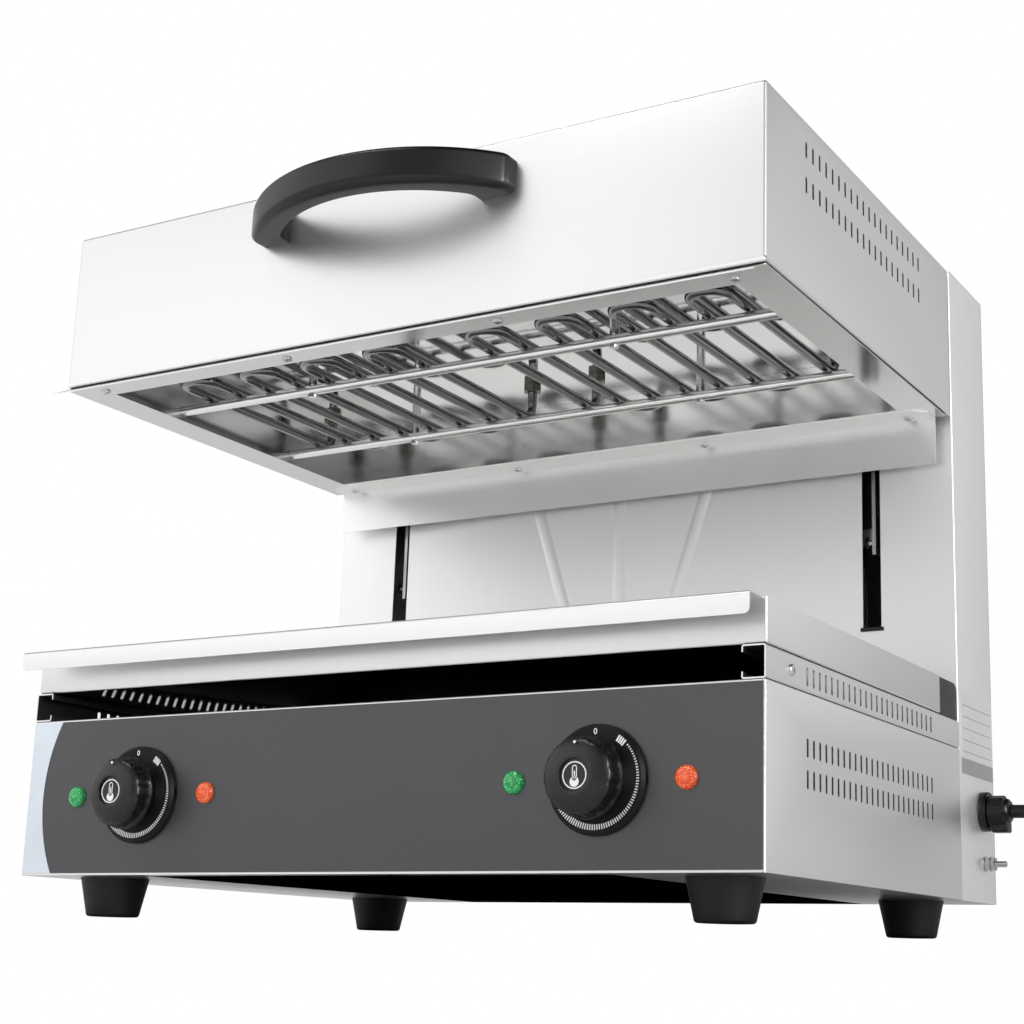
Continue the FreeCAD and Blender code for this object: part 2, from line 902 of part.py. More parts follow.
def lift_carriage():
    blocks, bolts = [], []
    for name, side in SIDES:
        x = side + "*rod_x"
        face = side + "*(slot_x-carriage_plate/2-gap)"
        reach = "slot_x-carriage_plate/2-gap-rod_x+block_side/2"
        start = x + "-block_side/2" if side == "1" else face
        for level in ("low", "high"):
            z = "block_" + level
            cube = block(
                f"slide_cube_{name}_{level}", start, "rod_y-block_side/2", z,
                reach, "block_side", "block_height",
            )
            bore = drum(
                f"slide_bore_{name}_{level}", "rod_radius+running", "block_height+2*plate",
                x, "rod_y", z + "-plate",
            )
            middle = z + "+block_height/2"
            tapped = drum(
                f"slide_tapped_{name}_{level}", "bolt_radius+running", "bolt_depth",
                face if side == "-1" else face + "-bolt_depth", "rod_y", middle, "x",
            )
            blocks.append(less(f"slide_block_{name}_{level}", cube, bore, tapped))
            bolts.append(
                screw(
                    f"block_bolt_{name}_{level}", side + "*(slot_x+carriage_plate/2)", "rod_y", middle, "x",
                    int(side), "bolt_head", "bolt_cap", "bolt_radius", "carriage_plate+gap+bolt_depth/2",
                )
            )
        for i, (bx, bz) in enumerate(arm_bolt_places(side)):
            bolts.append(
                screw(
                    f"arm_bolt_{name}_{i}", bx, "hood_depth-plate", bz, "y", -1,
                    "bolt_head", "bolt_cap", "bolt_radius", "plate+gap+arm_thick",
                )
            )
    for name, side in SIDES:
        bolts.append(
            screw(
                f"handle_bolt_{name}", side + "*handle_screw", "plate", "handle_middle+handle_height/2",
                "y", 1, "bolt_head", "bolt_cap", "bolt_radius", "plate+bolt_depth",
            )
        )
    keep(group("slide_blocks", blocks), "slide_blocks")
    keep(group("hood_bolts", bolts), "hood_bolts")
    beam = block(
        "carriage_bar", "carriage_plate/2-slot_x", "pulley_y-rope_ring-beam_side/2", "beam_level",
        "2*slot_x-carriage_plate", "beam_side", "beam_side",
    )
    keep(group("carriage_beam", [beam]), "carriage_beam")


def pulley(name, side):
    """A grooved wheel, drawn round its own axle; the axis is the row's X."""
    wheel = body(name)
    edge = "pulley_width/2"
    waist = "rope_radius"
    section = [
        ("-" + edge, "axle_radius+running"),
        (edge, "axle_radius+running"),
        (edge, "pulley_rim"),
        (edge + "-plate", "pulley_rim"),
        (waist, "pulley_groove"),
        ("-" + waist, "pulley_groove"),
        ("plate-" + edge, "pulley_rim"),
        ("-" + edge, "pulley_rim"),
    ]
    revolve(wheel, outline(wheel, "XZ_Plane", section), "X_Axis")
    keep(wheel, name, side + "*pulley_x", "pulley_y", "pulley_level")


def pulley_brackets():
    forks, axles = [], []
    for name, side in SIDES:
        x = side + "*pulley_x"
        cheek_gap = "(pulley_width/2+2*gap)"
        top = "column_height-plate"
        cheek_low = "pulley_level-3*axle_radius"
        width = "4*axle_radius"
        parts = []
        for hand, at in (("in", x + "-" + cheek_gap + "-bracket_plate"), ("out", x + "+" + cheek_gap)):
            parts.append(
                block(
                    f"fork_{name}_{hand}", at, "pulley_y-2*axle_radius", cheek_low,
                    "bracket_plate", width, top + "-(" + cheek_low + ")",
                )
            )
        parts.append(
            block(
                f"fork_{name}_top", x + "-" + cheek_gap + "-bracket_plate", "pulley_y-2*axle_radius",
                top + "-bracket_plate", "2*" + cheek_gap + "+2*bracket_plate", width, "bracket_plate",
            )
        )
        hole = drum(
            f"fork_hole_{name}", "axle_radius+running", "2*pulley_width+4*bracket_plate",
            x + "-pulley_width-2*bracket_plate", "pulley_y", "pulley_level", "x",
        )
        forks.append(less(f"fork_{name}", joined(f"fork_solid_{name}", *parts), hole))
        reach = "pulley_width+4*gap+4*bracket_plate"
        axles.append(
            drum(
                f"axle_{name}", "axle_radius", reach,
                x + "-(" + reach + ")/2", "pulley_y", "pulley_level", "x",
            )
        )
    keep(group("pulley_brackets", forks), "pulley_brackets")
    keep(group("pulley_axles", axles), "pulley_axles")


def counterweight():
    weight = body("counterweight")
    y0 = "weight_y-weight_depth/2"
    y1 = "weight_y+weight_depth/2"
    bar = oblong("-weight_half", y0, "weight_half", y1)
    pad(weight, outline(weight, "XY_Plane", bar, rise="weight_bottom"), "weight_height")
    top = number("weight_bottom+weight_height")
    soften(weight, "weight_edge", lambda e: e.BoundBox.ZMin > top - 0.01, "Chamfer")
    keep(weight, "counterweight")


def tube_along(edges, radius):
    """Sweeps a round section along joined lines and arcs."""
    path = Part.Wire(edges)
    first = path.Edges[0]
    start = first.valueAt(first.FirstParameter)
    ring = Part.makeCircle(radius, start, first.tangentAt(first.FirstParameter))
    return path.makePipeShell([Part.Wire(ring)], True, False)


def lift_ropes():
    """Each rope runs up from the beam, over its pulley and down to the counterweight."""
    bends = []
    spans = {"front": [], "back": []}
    ring = number("rope_ring")
    middle = FreeCAD.Vector(0, number("pulley_y"), number("pulley_level"))
    for name, side in SIDES:
        x = side + "*pulley_x"
        middle.x = number(x)
        rise = FreeCAD.Vector(0, 0, ring)
        reach = FreeCAD.Vector(0, ring, 0)
        over = Part.Arc(middle - reach, middle + rise, middle + reach)
        bends.append(tube_along([over.toShape()], number("rope_radius")))
        low = "beam_level+beam_side"
        spans["front"].append(
            drum(
                f"rope_front_{name}", "rope_radius", "pulley_level-(" + low + ")",
                x, "pulley_y-rope_ring", low,
            )
        )
        low = "weight_bottom+weight_height"
        spans["back"].append(
            drum(
                f"rope_back_{name}", "rope_radius", "pulley_level-(" + low + ")",
                x, "pulley_y+rope_ring", low,
            )
        )
    keep(formed("rope_bends", Part.makeCompound(bends)), "rope_bends")
    for place, pieces in spans.items():
        keep(group(f"ropes_{place}", pieces), f"ropes_{place}")


# Controls: regulators behind the front, spindles, scale rings, knobs and pilot lamps


def knob(name, side):
    """A moulded knob, drawn round its own axis: skirt, fluted grip, crown and sunk badge."""
    cap = body("knob_" + name)
    rear = "-knob_back"
    front = "-knob_back-knob_length"
    profile = [
        (rear, "spindle_radius+running"),
        (rear, "knob_radius"),
        (rear + "-knob_skirt", "knob_radius"),
        (rear + "-knob_skirt-2*plate", "knob_radius-1.5*plate"),
        (front + "+1.5*knob_crown", "knob_radius-knob_taper"),
        (front + "+plate", "knob_radius-knob_taper-knob_crown"),
        (front, "knob_radius-knob_taper-1.5*knob_crown"),
        (front, "knob_badge"),
        (front + "+badge_sink", "knob_badge"),
        (front + "+badge_sink", "0"),
        ("-knob_back-spindle_depth", "0"),
        ("-knob_back-spindle_depth", "spindle_radius+running"),
    ]
    revolve(cap, outline(cap, "YZ_Plane", profile), "Y_Axis")
    flute = [("0", "knob_radius+flute_radius-flute_bite", "flute_radius")]
    start = "knob_back+knob_length+plate"
    cut = pocket(cap, discs(cap, "XZ_Plane", flute, rise=start), "knob_length-knob_skirt-plate")
    repeat_round(cap, cut, "Y_Axis", "flute_count")
    keep(cap, "knob_" + name, side + "*knob_x", z="knob_level")
    rod = drum(
        "spindle_rod_" + name, "spindle_radius", "knob_back+2*spindle_depth", "0",
        "-knob_back-spindle_depth", "0", "y",
    )
    keep(group("spindle_" + name, [rod]), "spindle_" + name, side + "*knob_x", z="knob_level")


def dial_rings():
    made = []
    for name, side in SIDES:
        x = side + "*knob_x"
        disc = drum(f"dial_disc_{name}", "dial_radius", "dial_thick", x, "-dial_face", "knob_level", "y")
        doc.recompute()
        bevel = doc.addObject("Part::Chamfer", f"dial_bevel_{name}")
        bevel.Base = disc
        size = number("dial_edge")
        rim = [i + 1 for i, e in enumerate(disc.Shape.Edges) if e.BoundBox.YMax < number("0.1-dial_face")]
        bevel.Edges = [(i, size, size) for i in rim]
        bore = drum(
            f"dial_bore_{name}", "dial_bore", "dial_thick+2*plate", x, "-dial_face-plate", "knob_level", "y"
        )
        made.append(less(f"dial_{name}", bevel, bore))
    keep(group("dial_rings", made), "dial_rings")


def regulators():
    made = []
    for name, side in SIDES:
        x = side + "*knob_x"
        case = block(
            f"regulator_case_{name}", x + "-regulator_side/2", "2*plate", "knob_level-regulator_side/2",
            "regulator_side", "regulator_depth", "regulator_side",
        )
        nose = drum(f"regulator_nose_{name}", "dial_bore", "2*plate", x, "plate", "knob_level", "y")
        bore = drum(
            f"regulator_bore_{name}", "spindle_radius+running", "spindle_depth", x, "plate", "knob_level", "y"
        )
        made.append(less(f"regulator_{name}", joined(f"regulator_solid_{name}", case, nose), bore))
    keep(group("regulators", made), "regulators")


def pilot_lamps():
    """Faceted lenses in front of the film, with barrels behind the sheet."""
    tints = {"green": "-", "amber": "+"}
    barrels = []
    for tint, hand in tints.items():
        lenses = []
        for name, side in SIDES:
            x = side + "*knob_x" + hand + "pilot_offset"
            lens = body(f"pilot_lens_{tint}_{name}")
            section = [
                ("plate", "0"),
                ("plate", "pilot_neck"),
                ("-film", "pilot_neck"),
                ("-film", "pilot_radius"),
                ("-film-pilot_rim", "pilot_radius"),
                ("-film-pilot_rim-pilot_bulge*0.7", "pilot_radius*0.65"),
                ("-film-pilot_rim-pilot_bulge", "0"),
            ]
            revolve(lens, outline(lens, "YZ_Plane", section), "Y_Axis")
            shift(lens, x, "0", "knob_level")
            lenses.append(lens)
            barrels.append(
                drum(
                    f"pilot_barrel_{tint}_{name}", "pilot_radius-plate", "pilot_length",
                    x, "plate", "knob_level", "y",
                )
            )
        keep(group(f"pilot_lenses_{tint}", lenses), f"pilot_lenses_{tint}")
    keep(group("pilot_barrels", barrels), "pilot_barrels")


# Grill pan and wire rack


def grill_pan():
    pan = body("grill_pan")
    outer = oblong("-half", "pan_set_back", "half", "pan_back")
    pad(pan, outline(pan, "XY_Plane", outer, rise="pan_floor"), "pan_height")
    inner = oblong("plate-half", "pan_set_back+plate", "half-plate", "pan_back-plate")
    pocket(pan, outline(pan, "XY_Plane", inner, rise="pan_floor+plate"), "pan_height", back=True)
    edge = "pan_set_back-pan_reach"
    lip = [
        ("pan_set_back", "pan_top"),
        (edge, "pan_top"),
        (edge, "pan_top-pan_drop"),
        (edge + "+plate", "pan_top-pan_drop"),
        (edge + "+plate", "pan_top-plate"),
        ("pan_set_back", "pan_top-plate"),
    ]
    pad(pan, outline(pan, "YZ_Plane", lip), "width-4*plate", centred=True)
    low = number("pan_top-pan_drop")
    front = number(edge)
    soften(
        pan, "4*plate",
        lambda e: abs(e.BoundBox.ZMin - low) < 0.01
        and e.BoundBox.YMin < front + 0.01
        and e.BoundBox.YLength > 0.5
        and e.BoundBox.ZLength < 0.1,
    )
    keep(pan, "grill_pan")


def wire_rack():
    """Wires across a round-bar frame that stands on four short legs in the pan."""
    side = "half-plate-rack_margin"
    front = "pan_set_back+plate+rack_margin"
    back = "pan_back-plate-rack_margin"
    level = "pan_floor+plate+rack_level"
    length = "(" + back + ")-(" + front + ")"
    pieces = []
    for name, sign in SIDES:
        x = sign + "*(" + side + ")"
        pieces.append(drum(f"rack_side_{name}", "rack_frame", length, x, front, level, "y"))
        for end, y in (("front", front), ("back", back)):
            foot = drum(
                f"rack_leg_{name}_{end}", "rack_frame", "rack_level-gap", x, y, "pan_floor+plate+gap"
            )
            knuckle = doc.addObject("Part::Sphere", f"rack_knuckle_{name}_{end}")
            bind(knuckle, Radius="rack_frame")
            shift(knuckle, x, y, level)
            pieces.extend((foot, knuckle))
    for end, y in (("front", front), ("back", back)):
        pieces.append(
            drum(f"rack_{end}", "rack_frame", "2*(" + side + ")", "-(" + side + ")", y, level, "x")
        )
    count = int(number("rack_count"))
    for i in range(1, count + 1):
        x = f"(2*{i}/(rack_count+1)-1)*({side})"
        pieces.append(
            drum(f"rack_wire_{i}", "rack_wire", length, x, front, level + "+rack_frame", "y")
        )
    keep(joined("wire_rack", *pieces), "wire_rack")


# Hood: outer shell, back, liner with its flange and lip, reflector, wool, apron


def hood_shell():
    shell = body("hood_shell")
    outer = oblong("-hood_half", "0", "hood_half", "hood_depth")
    pad(shell, outline(shell, "XY_Plane", outer, rise="hood_level"), "hood_height")
    mouth = oblong("hood_fold-hood_half", "hood_fold", "hood_half-hood_fold", "hood_depth+plate")
    pocket(shell, outline(shell, "XY_Plane", mouth, rise="hood_level"), "hood_height-plate", back=True)
    room = oblong("plate-hood_half", "plate", "hood_half-plate", "hood_depth+plate")
    inside = outline(shell, "XY_Plane", room, rise="hood_level+plate")
    pocket(shell, inside, "hood_height-2*plate", back=True)
    taps = [(x, y, "screw_shank+hole_ease") for x, y in flange_screw_places() if y == "screw_front"]
    pocket(shell, discs(shell, "XY_Plane", taps, rise="hood_level-plate"), "3*plate", back=True)
    rows = [
        oblong("hood_vent_start", low, "hood_vent_start+vent_width", low + "+vent_height")
        for low in ("hood_level+hood_vent_low", "hood_level+hood_vent_high")
    ]
    vents = pocket(shell, outline(shell, "YZ_Plane", *rows))
    repeat(shell, vents, "Y_Axis", "hood_vent_pitch*(hood_vent_count-1)", "hood_vent_count")
    holes = [
        (side + "*handle_screw", "handle_middle+handle_height/2", "bolt_radius+hole_ease")
        for _, side in SIDES
    ]
    pocket(shell, discs(shell, "XZ_Plane", holes, rise="plate"), "3*plate")
    keep(shell, "hood_shell")


def hood_back():
    cover = body("hood_back")
    inset = "(hood_half-plate-gap)"
    panel = oblong("-" + inset, "hood_level+plate+gap", inset, "hood_top-plate-gap")
    pad(cover, outline(cover, "XZ_Plane", panel, rise="-hood_depth"), "plate")
    holes = [
        (x, z, "bolt_radius+hole_ease") for _, side in SIDES for x, z in arm_bolt_places(side)
    ]
    pocket(cover, discs(cover, "XZ_Plane", holes, rise="2*plate-hood_depth"), "4*plate")
    keep(cover, "hood_back")


def flange_screw_places():
    return [
        (side + "*" + x, y)
        for _, side in SIDES
        for x in ("screw_inner", "screw_outer")
        for y in ("screw_front", "screw_back")
    ]


def hood_liner():
    """The flange ring with its raised inner edge and down-turned front lip, and four walls."""
    liner = body("hood_liner")
    ring = oblong("-hood_half", "0", "hood_half", "flange_back")
    mouth = oblong("plate-liner_half", "liner_front+plate", "liner_half-plate", "liner_back-plate")
    pad(liner, outline(liner, "XY_Plane", ring, mouth, rise="flange"), "plate")
    walls = oblong("-liner_half", "liner_front", "liner_half", "liner_back")
    pad(liner, outline(liner, "XY_Plane", walls, mouth, rise="flange"), "liner_height")
    out = "(hood_half-upstand_inset)"
    edge = oblong("-" + out, "upstand_inset", out, "flange_back-upstand_inset")
    inner = oblong(
        "plate-" + out, "upstand_inset+plate", out + "-plate", "flange_back-upstand_inset-plate"
    )
    pad(liner, outline(liner, "XY_Plane", edge, inner, rise="flange"), "flange_drop")
    lip = [
        ("0", "flange"),
        ("0", "flange+plate"),
        ("-lip_reach", "flange+plate-lip_drop"),
        ("-lip_reach", "flange-lip_drop"),
    ]
    pad(liner, outline(liner, "YZ_Plane", lip), "width-4*plate", centred=True)
    holes = [(x, y, "screw_shank+hole_ease") for x, y in flange_screw_places()]
    pocket(liner, discs(liner, "XY_Plane", holes, rise="flange-plate"), "3*plate", back=True)
    seats = [(y, "bar_level", "bar_radius+hole_ease") for y in ("bar_front", "bar_back")]
    pocket(liner, discs(liner, "YZ_Plane", seats))
    keep(liner, "hood_liner")


def apron():
    """An angle screwed under the liner's rear flange; it closes the hood off from the column."""
    made = body("apron")
    section = [
        ("apron_front", "flange"),
        ("flange_back", "flange"),
        ("flange_back", "flange-apron_height"),
        ("flange_back-plate", "flange-apron_height"),
        ("flange_back-plate", "flange-plate"),
        ("apron_front", "flange-plate"),
    ]
    pad(made, outline(made, "YZ_Plane", section), "width-2*apron_side", centred=True)
    front = number("apron_front")
    soften(
        made, "apron_corner",
        lambda e: e.BoundBox.YMax < front + 0.01 and e.BoundBox.XLength < 0.01,
        "Chamfer",
    )
    holes = [(x, y, "screw_shank+hole_ease") for x, y in flange_screw_places() if y == "screw_back"]
    pocket(made, discs(made, "XY_Plane", holes, rise="flange+plate"), "3*plate")
    keep(made, "apron")


def hood_screws():
    made = []
    for i, (x, y) in enumerate(flange_screw_places()):
        face = "flange-plate" if y == "screw_back" else "flange"
        made.append(
            screw(
                f"hood_screw_{i}", x, y, face, "z", -1,
                "screw_head", "screw_cap", "screw_shank", "screw_length+plate",
            )
        )
    keep(group("hood_screws", made), "hood_screws")


def reflector():
    tray = body("reflector")
    inset = "(liner_half-plate-gap)"
    rim = oblong("-" + inset, "liner_front+plate+gap", inset, "liner_back-plate-gap")
    pad(tray, outline(tray, "XY_Plane", rim, rise="reflector"), "reflector_edge")
    room = oblong(
        "plate-" + inset, "liner_front+2*plate+gap", inset + "-plate", "liner_back-2*plate-gap"
    )
    pocket(tray, outline(tray, "XY_Plane", room, rise="reflector+plate"), "reflector_edge", back=True)
    holes = [(x, "riser_y", "element_radius+hole_ease") for x in riser_places()]
    for _, side in SIDES:
        for y in ("bar_front", "bar_back"):
            holes.append((side + "*hanger_x", y, "screw_shank+hole_ease"))
    pocket(tray, discs(tray, "XY_Plane", holes))
    keep(tray, "reflector")


def insulation():
    slab = block(
        "wool_slab", "wool_margin-liner_half", "liner_front+wool_margin/2", "reflector+plate",
        "2*(liner_half-wool_margin)", "bar_back-liner_front-wool_margin", "wool_height",
    )
    holes = [
        drum(
            f"wool_hole_{name}", "screw_head+plate", "wool_height+2*plate", side + "*hanger_x", "bar_front",
            "reflector",
        )
        for name, side in SIDES
    ]
    keep(less("insulation", slab, *holes), "insulation")


# Heating: two serpentine tubular elements on two bars


def riser_places():
    """Across positions of the four element ends that rise through the reflector."""
    return [side + "*(" + x + ")" for _, side in SIDES for x in ("element_middle", "element_far")]


def element(name, side):
    """One unbroken tube: straight legs, half-round bends, and both ends turned up at the back."""
    sign = float(side)
    z = number("element_level")
    bend = number("element_pitch") / 2
    front = number("element_front")
    back = number("element_back")
    end = number("element_end")
    riser = number("element_riser")
    top = number("reflector+element_tail")
    legs = int(number("element_legs"))
    across = [sign * (number("element_middle") + 2 * bend * i) for i in range(legs)]
    point = FreeCAD.Vector
    curves = []

    def quarter(x, rising):
        low = point(x, end, z)
        knee = point(x, end + riser * math.sin(math.pi / 4), z + riser * (1 - math.cos(math.pi / 4)))
        high = point(x, end + riser, z + riser)
        return Part.Arc(low, knee, high) if rising else Part.Arc(high, knee, low)

    curves.append(
        Part.LineSegment(point(across[0], end + riser, top), point(across[0], end + riser, z + riser))
    )
    curves.append(quarter(across[0], False))
    for i, x in enumerate(across):
        forward = i % 2 == 0
        rear = end if i in (0, legs - 1) else back
        start, finish = (rear, front) if forward else (front, rear)
        curves.append(Part.LineSegment(point(x, start, z), point(x, finish, z)))
        if i + 1 < legs:
            middle = (x + across[i + 1]) / 2
            crown = front - bend if forward else back + bend
            curves.append(
                Part.Arc(point(x, finish, z), point(middle, crown, z), point(across[i + 1], finish, z))
            )
    curves.append(quarter(across[-1], True))
    curves.append(
        Part.LineSegment(point(across[-1], end + riser, z + riser), point(across[-1], end + riser, top))
    )
    tube = tube_along([c.toShape() for c in curves], number("element_radius"))
    keep(formed("element_" + name, tube), "element_" + name)


def element_terminals():
    """A hexagon fitting under the reflector, and a ceramic bead with its pin on top of each end."""
    made = []
    for i, x in enumerate(riser_places()):
        nut = doc.addObject("Part::Prism", f"fitting_hex_{i}")
        nut.Polygon = 6
        bind(nut, Circumradius="fitting_radius", Height="fitting_height")
        shift(nut, x, "riser_y", "reflector-fitting_height-gap")
        bore = drum(
            f"fitting_bore_{i}", "element_radius+hole_ease", "fitting_height+2*plate", x, "riser_y",
            "reflector-fitting_height-plate",
        )
        made.append(less(f"fitting_{i}", nut, bore))
        top = "reflector+element_tail"
        bead = drum(f"bead_{i}", "bead_radius", "bead_height", x, "riser_y", top)
        pin = drum(f"terminal_pin_{i}", "pin_radius", "bead_height+pin_height", x, "riser_y", top)
        made.append(joined(f"terminal_{i}", bead, pin))
    keep(group("element_terminals", made), "element_terminals")


def support_bars():
    made = []
    for end, y in (("front", "bar_front"), ("back", "bar_back")):
        rod = drum(
            f"bar_rod_{end}", "bar_radius", "2*(liner_half+bar_overhang)", "-liner_half-bar_overhang", y,
            "bar_level", "x",
        )
        holes = [
            drum(
                f"bar_hole_{end}_{name}", "screw_shank+running", "4*bar_radius", side + "*hanger_x", y,
                "bar_level-2*bar_radius",
            )
            for name, side in SIDES
        ]
        made.append(less(f"bar_{end}", rod, *holes))
    keep(group("support_bars", made), "support_bars")


def bar_bolts():
    """Long bolts that hang the bars from the reflector, with a nut above it."""
    made = []
    for name, side in SIDES:
        for end, y in (("front", "bar_front"), ("back", "bar_back")):
            x = side + "*hanger_x"
            tag = f"{name}_{end}"
            head = doc.addObject("Part::Prism", "hanger_head_" + tag)
            head.Polygon = 6
            bind(head, Circumradius="screw_head", Height="screw_cap")
            shift(head, x, y, "bar_level-bar_radius-screw_cap")
            stem_low = "bar_level-bar_radius-screw_cap"
            stem = drum(
                "hanger_stem_" + tag, "screw_shank", "reflector+plate+bolt_cap-(" + stem_low + ")",
                x, y, stem_low,
            )
            sleeve = drum(
                "hanger_sleeve_" + tag, "screw_head-gap", "reflector-bar_level-bar_radius", x, y,
                "bar_level+bar_radius",
            )
            nut = doc.addObject("Part::Prism", "hanger_nut_" + tag)
            nut.Polygon = 6
            bind(nut, Circumradius="screw_head", Height="bolt_cap")
            shift(nut, x, y, "reflector+plate")
            made.append(joined("hanger_" + tag, head, stem, sleeve, nut))
    keep(group("bar_bolts", made), "bar_bolts")


# Handle: a bow in plan, drilled for a screw at each foot


def handle():
    bow = body("handle")
    outer = "(handle_half*handle_half+handle_rise*handle_rise)/(2*handle_rise)"
    span = "(handle_half-handle_foot)"
    rise = "(handle_rise-handle_grip)"
    inner = f"({span}*{span}+{rise}*{rise})/(2*{rise})"
    plan = [
        ("-handle_half", "0", outer, True),
        ("handle_half", "0"),
        (span, "0", inner, False),
        ("-" + span, "0"),
    ]
    pad(bow, outline(bow, "XY_Plane", plan, rise="handle_middle"), "handle_height")
    soften(
        bow, "handle_edge",
        lambda e: e.BoundBox.ZLength < 0.01 and e.BoundBox.YLength > 1,
    )
    holes = [
        (side + "*handle_screw", "handle_middle+handle_height/2", "bolt_radius+running") for _, side in SIDES
    ]
    pocket(bow, discs(bow, "XZ_Plane", holes), "bolt_depth+gap", back=True)
    keep(bow, "handle")


# Supply: gland, earth terminal, terminal block, cord, coil and plug


def cable_gland():
    flange = drum(
        "gland_flange", "gland_flange", "gland_flange_thick", "half", "gland_y", "gland_level", "x"
    )
    barrel = drum(
        "gland_barrel", "gland_radius", "gland_flange_thick+gland_length",
        "half", "gland_y", "gland_level", "x",
    )
    bush = drum(
        "gland_bush", "gland_bush", "2*gland_nut_thick",
        "half-2*gland_nut_thick", "gland_y", "gland_level", "x",
    )
    nut = drum(
        "gland_nut", "gland_nut", "gland_nut_thick",
        "half-plate-gland_nut_thick", "gland_y", "gland_level", "x",
    )
    clamp = block(
        "gland_clamp", "half+gland_flange_thick+2*plate", "gland_y-gland_radius/2",
        "gland_level-gland_radius-gland_clamp_drop",
        "gland_length-4*plate", "gland_radius", "gland_radius",
    )
    keep(joined("cable_gland", flange, barrel, bush, nut, clamp), "cable_gland")


def earth_terminal():
    """A threaded stud through the column's side, with a nut inside and two nuts outside."""
    inside = "3*earth_nut_thick/2"
    stud = drum(
        "earth_stud", "earth_radius", inside + "+plate+earth_length", "half-plate-" + inside,
        "earth_y", "earth_level", "x",
    )
    pieces = [stud]
    starts = (
        ("inner", "half-plate-earth_nut_thick"),
        ("outer", "half"),
        ("lock", "half+earth_nut_thick+1.5*plate"),
    )
    for name, x in starts:
        pieces.append(
            drum(f"earth_nut_{name}", "earth_nut", "earth_nut_thick", x, "earth_y", "earth_level", "x")
        )
    keep(joined("earth_terminal", *pieces), "earth_terminal")


def terminal_block():
    width = "terminal_width"
    made = block(
        "terminal_case", "half-return_width-2*plate-" + width, "depth-plate-terminal_depth",
        "earth_level+terminal_rise",
        width, "terminal_depth", "terminal_height",
    )
    keep(group("terminal_block", [made]), "terminal_block")


def rounded_route(points):
    """Straight runs joined by tangent arcs, each as large as its two runs allow."""
    edges = []
    radii = []
    last = points[0]
    for before, corner, after in zip(points, points[1:], points[2:]):
        way_in, way_out = corner - before, after - corner
        turn = way_in.getAngle(way_out)
        reach = 0.45 * min(way_in.Length, way_out.Length)
        radii.append(reach / math.tan(turn / 2))
        start = corner - way_in.normalize() * reach
        finish = corner + way_out.normalize() * reach
        inward = ((start + finish) / 2 - corner).normalize()
        middle = corner + inward * (radii[-1] / math.cos(turn / 2) - radii[-1])
        edges.append(Part.LineSegment(last, start).toShape())
        edges.append(Part.Arc(start, middle, finish).toShape())
        last = finish
    edges.append(Part.LineSegment(last, points[-1]).toShape())
    print("cord bend radii", [round(r) for r in radii])
    return edges


# The cord's route: how far out from the gland's mouth, how far forward, and the share of its
# height above the worktop that is left.
CORD_ROUTE = [
    (0, 0, 1),
    (29, 0, 1),
    (65, -2, 0.87),
    (90, -3, 0.55),
    (113, -2, 0.2),
    (147, 0, 0),
    (185, 0, 0),
]


def biarc(start, way, finish, way_out):
    """Two tangent arcs from one point and heading to another."""
    chord = finish - start
    both = way + way_out
    slack = 4 - both.dot(both)
    along = chord.dot(both)
    if abs(slack) < 1e-9:
        reach = chord.dot(chord) / (2 * along)
    else:
        reach = (math.sqrt(along * along + slack * chord.dot(chord)) - along) / slack
    knee_in = start + way * reach
    knee_out = finish - way_out * reach
    joint = (knee_in + knee_out) / 2
    arcs = []
    for a, knee, b in ((start, knee_in, joint), (joint, knee_out, finish)):
        middle = (a + b) / 2
        half_chord = (a - middle).Length
        height = (knee - middle).Length
        if height < 1e-6 * half_chord:
            arcs.append(Part.LineSegment(a, b).toShape())
            continue
        radius = reach * half_chord / height
        sagitta = radius - math.sqrt(radius * radius - half_chord * half_chord)
        crown = middle + (knee - middle).normalize() * sagitta
        arcs.append(Part.Arc(a, crown, b).toShape())
    return arcs


def coil_point(turn, spot, turns, radius, step, low, high):
    """A point of the coil: it winds in on the worktop, turns back while it climbs, and winds out."""
    inward = min(turn, turns + 0.25)
    outward = max(0.0, turn - turns - 0.25)
    span = radius + step * turns / 2
    away = span - step * inward + step * outward
    climb = min(1.0, max(0.0, (turn - turns) / 0.5))
    level = low + (high - low) * climb * climb * (3 - 2 * climb)
    angle = math.pi / 2 - 2 * math.pi * turn
    return FreeCAD.Vector(spot.x + away * math.cos(angle), spot.y + away * math.sin(angle), level)


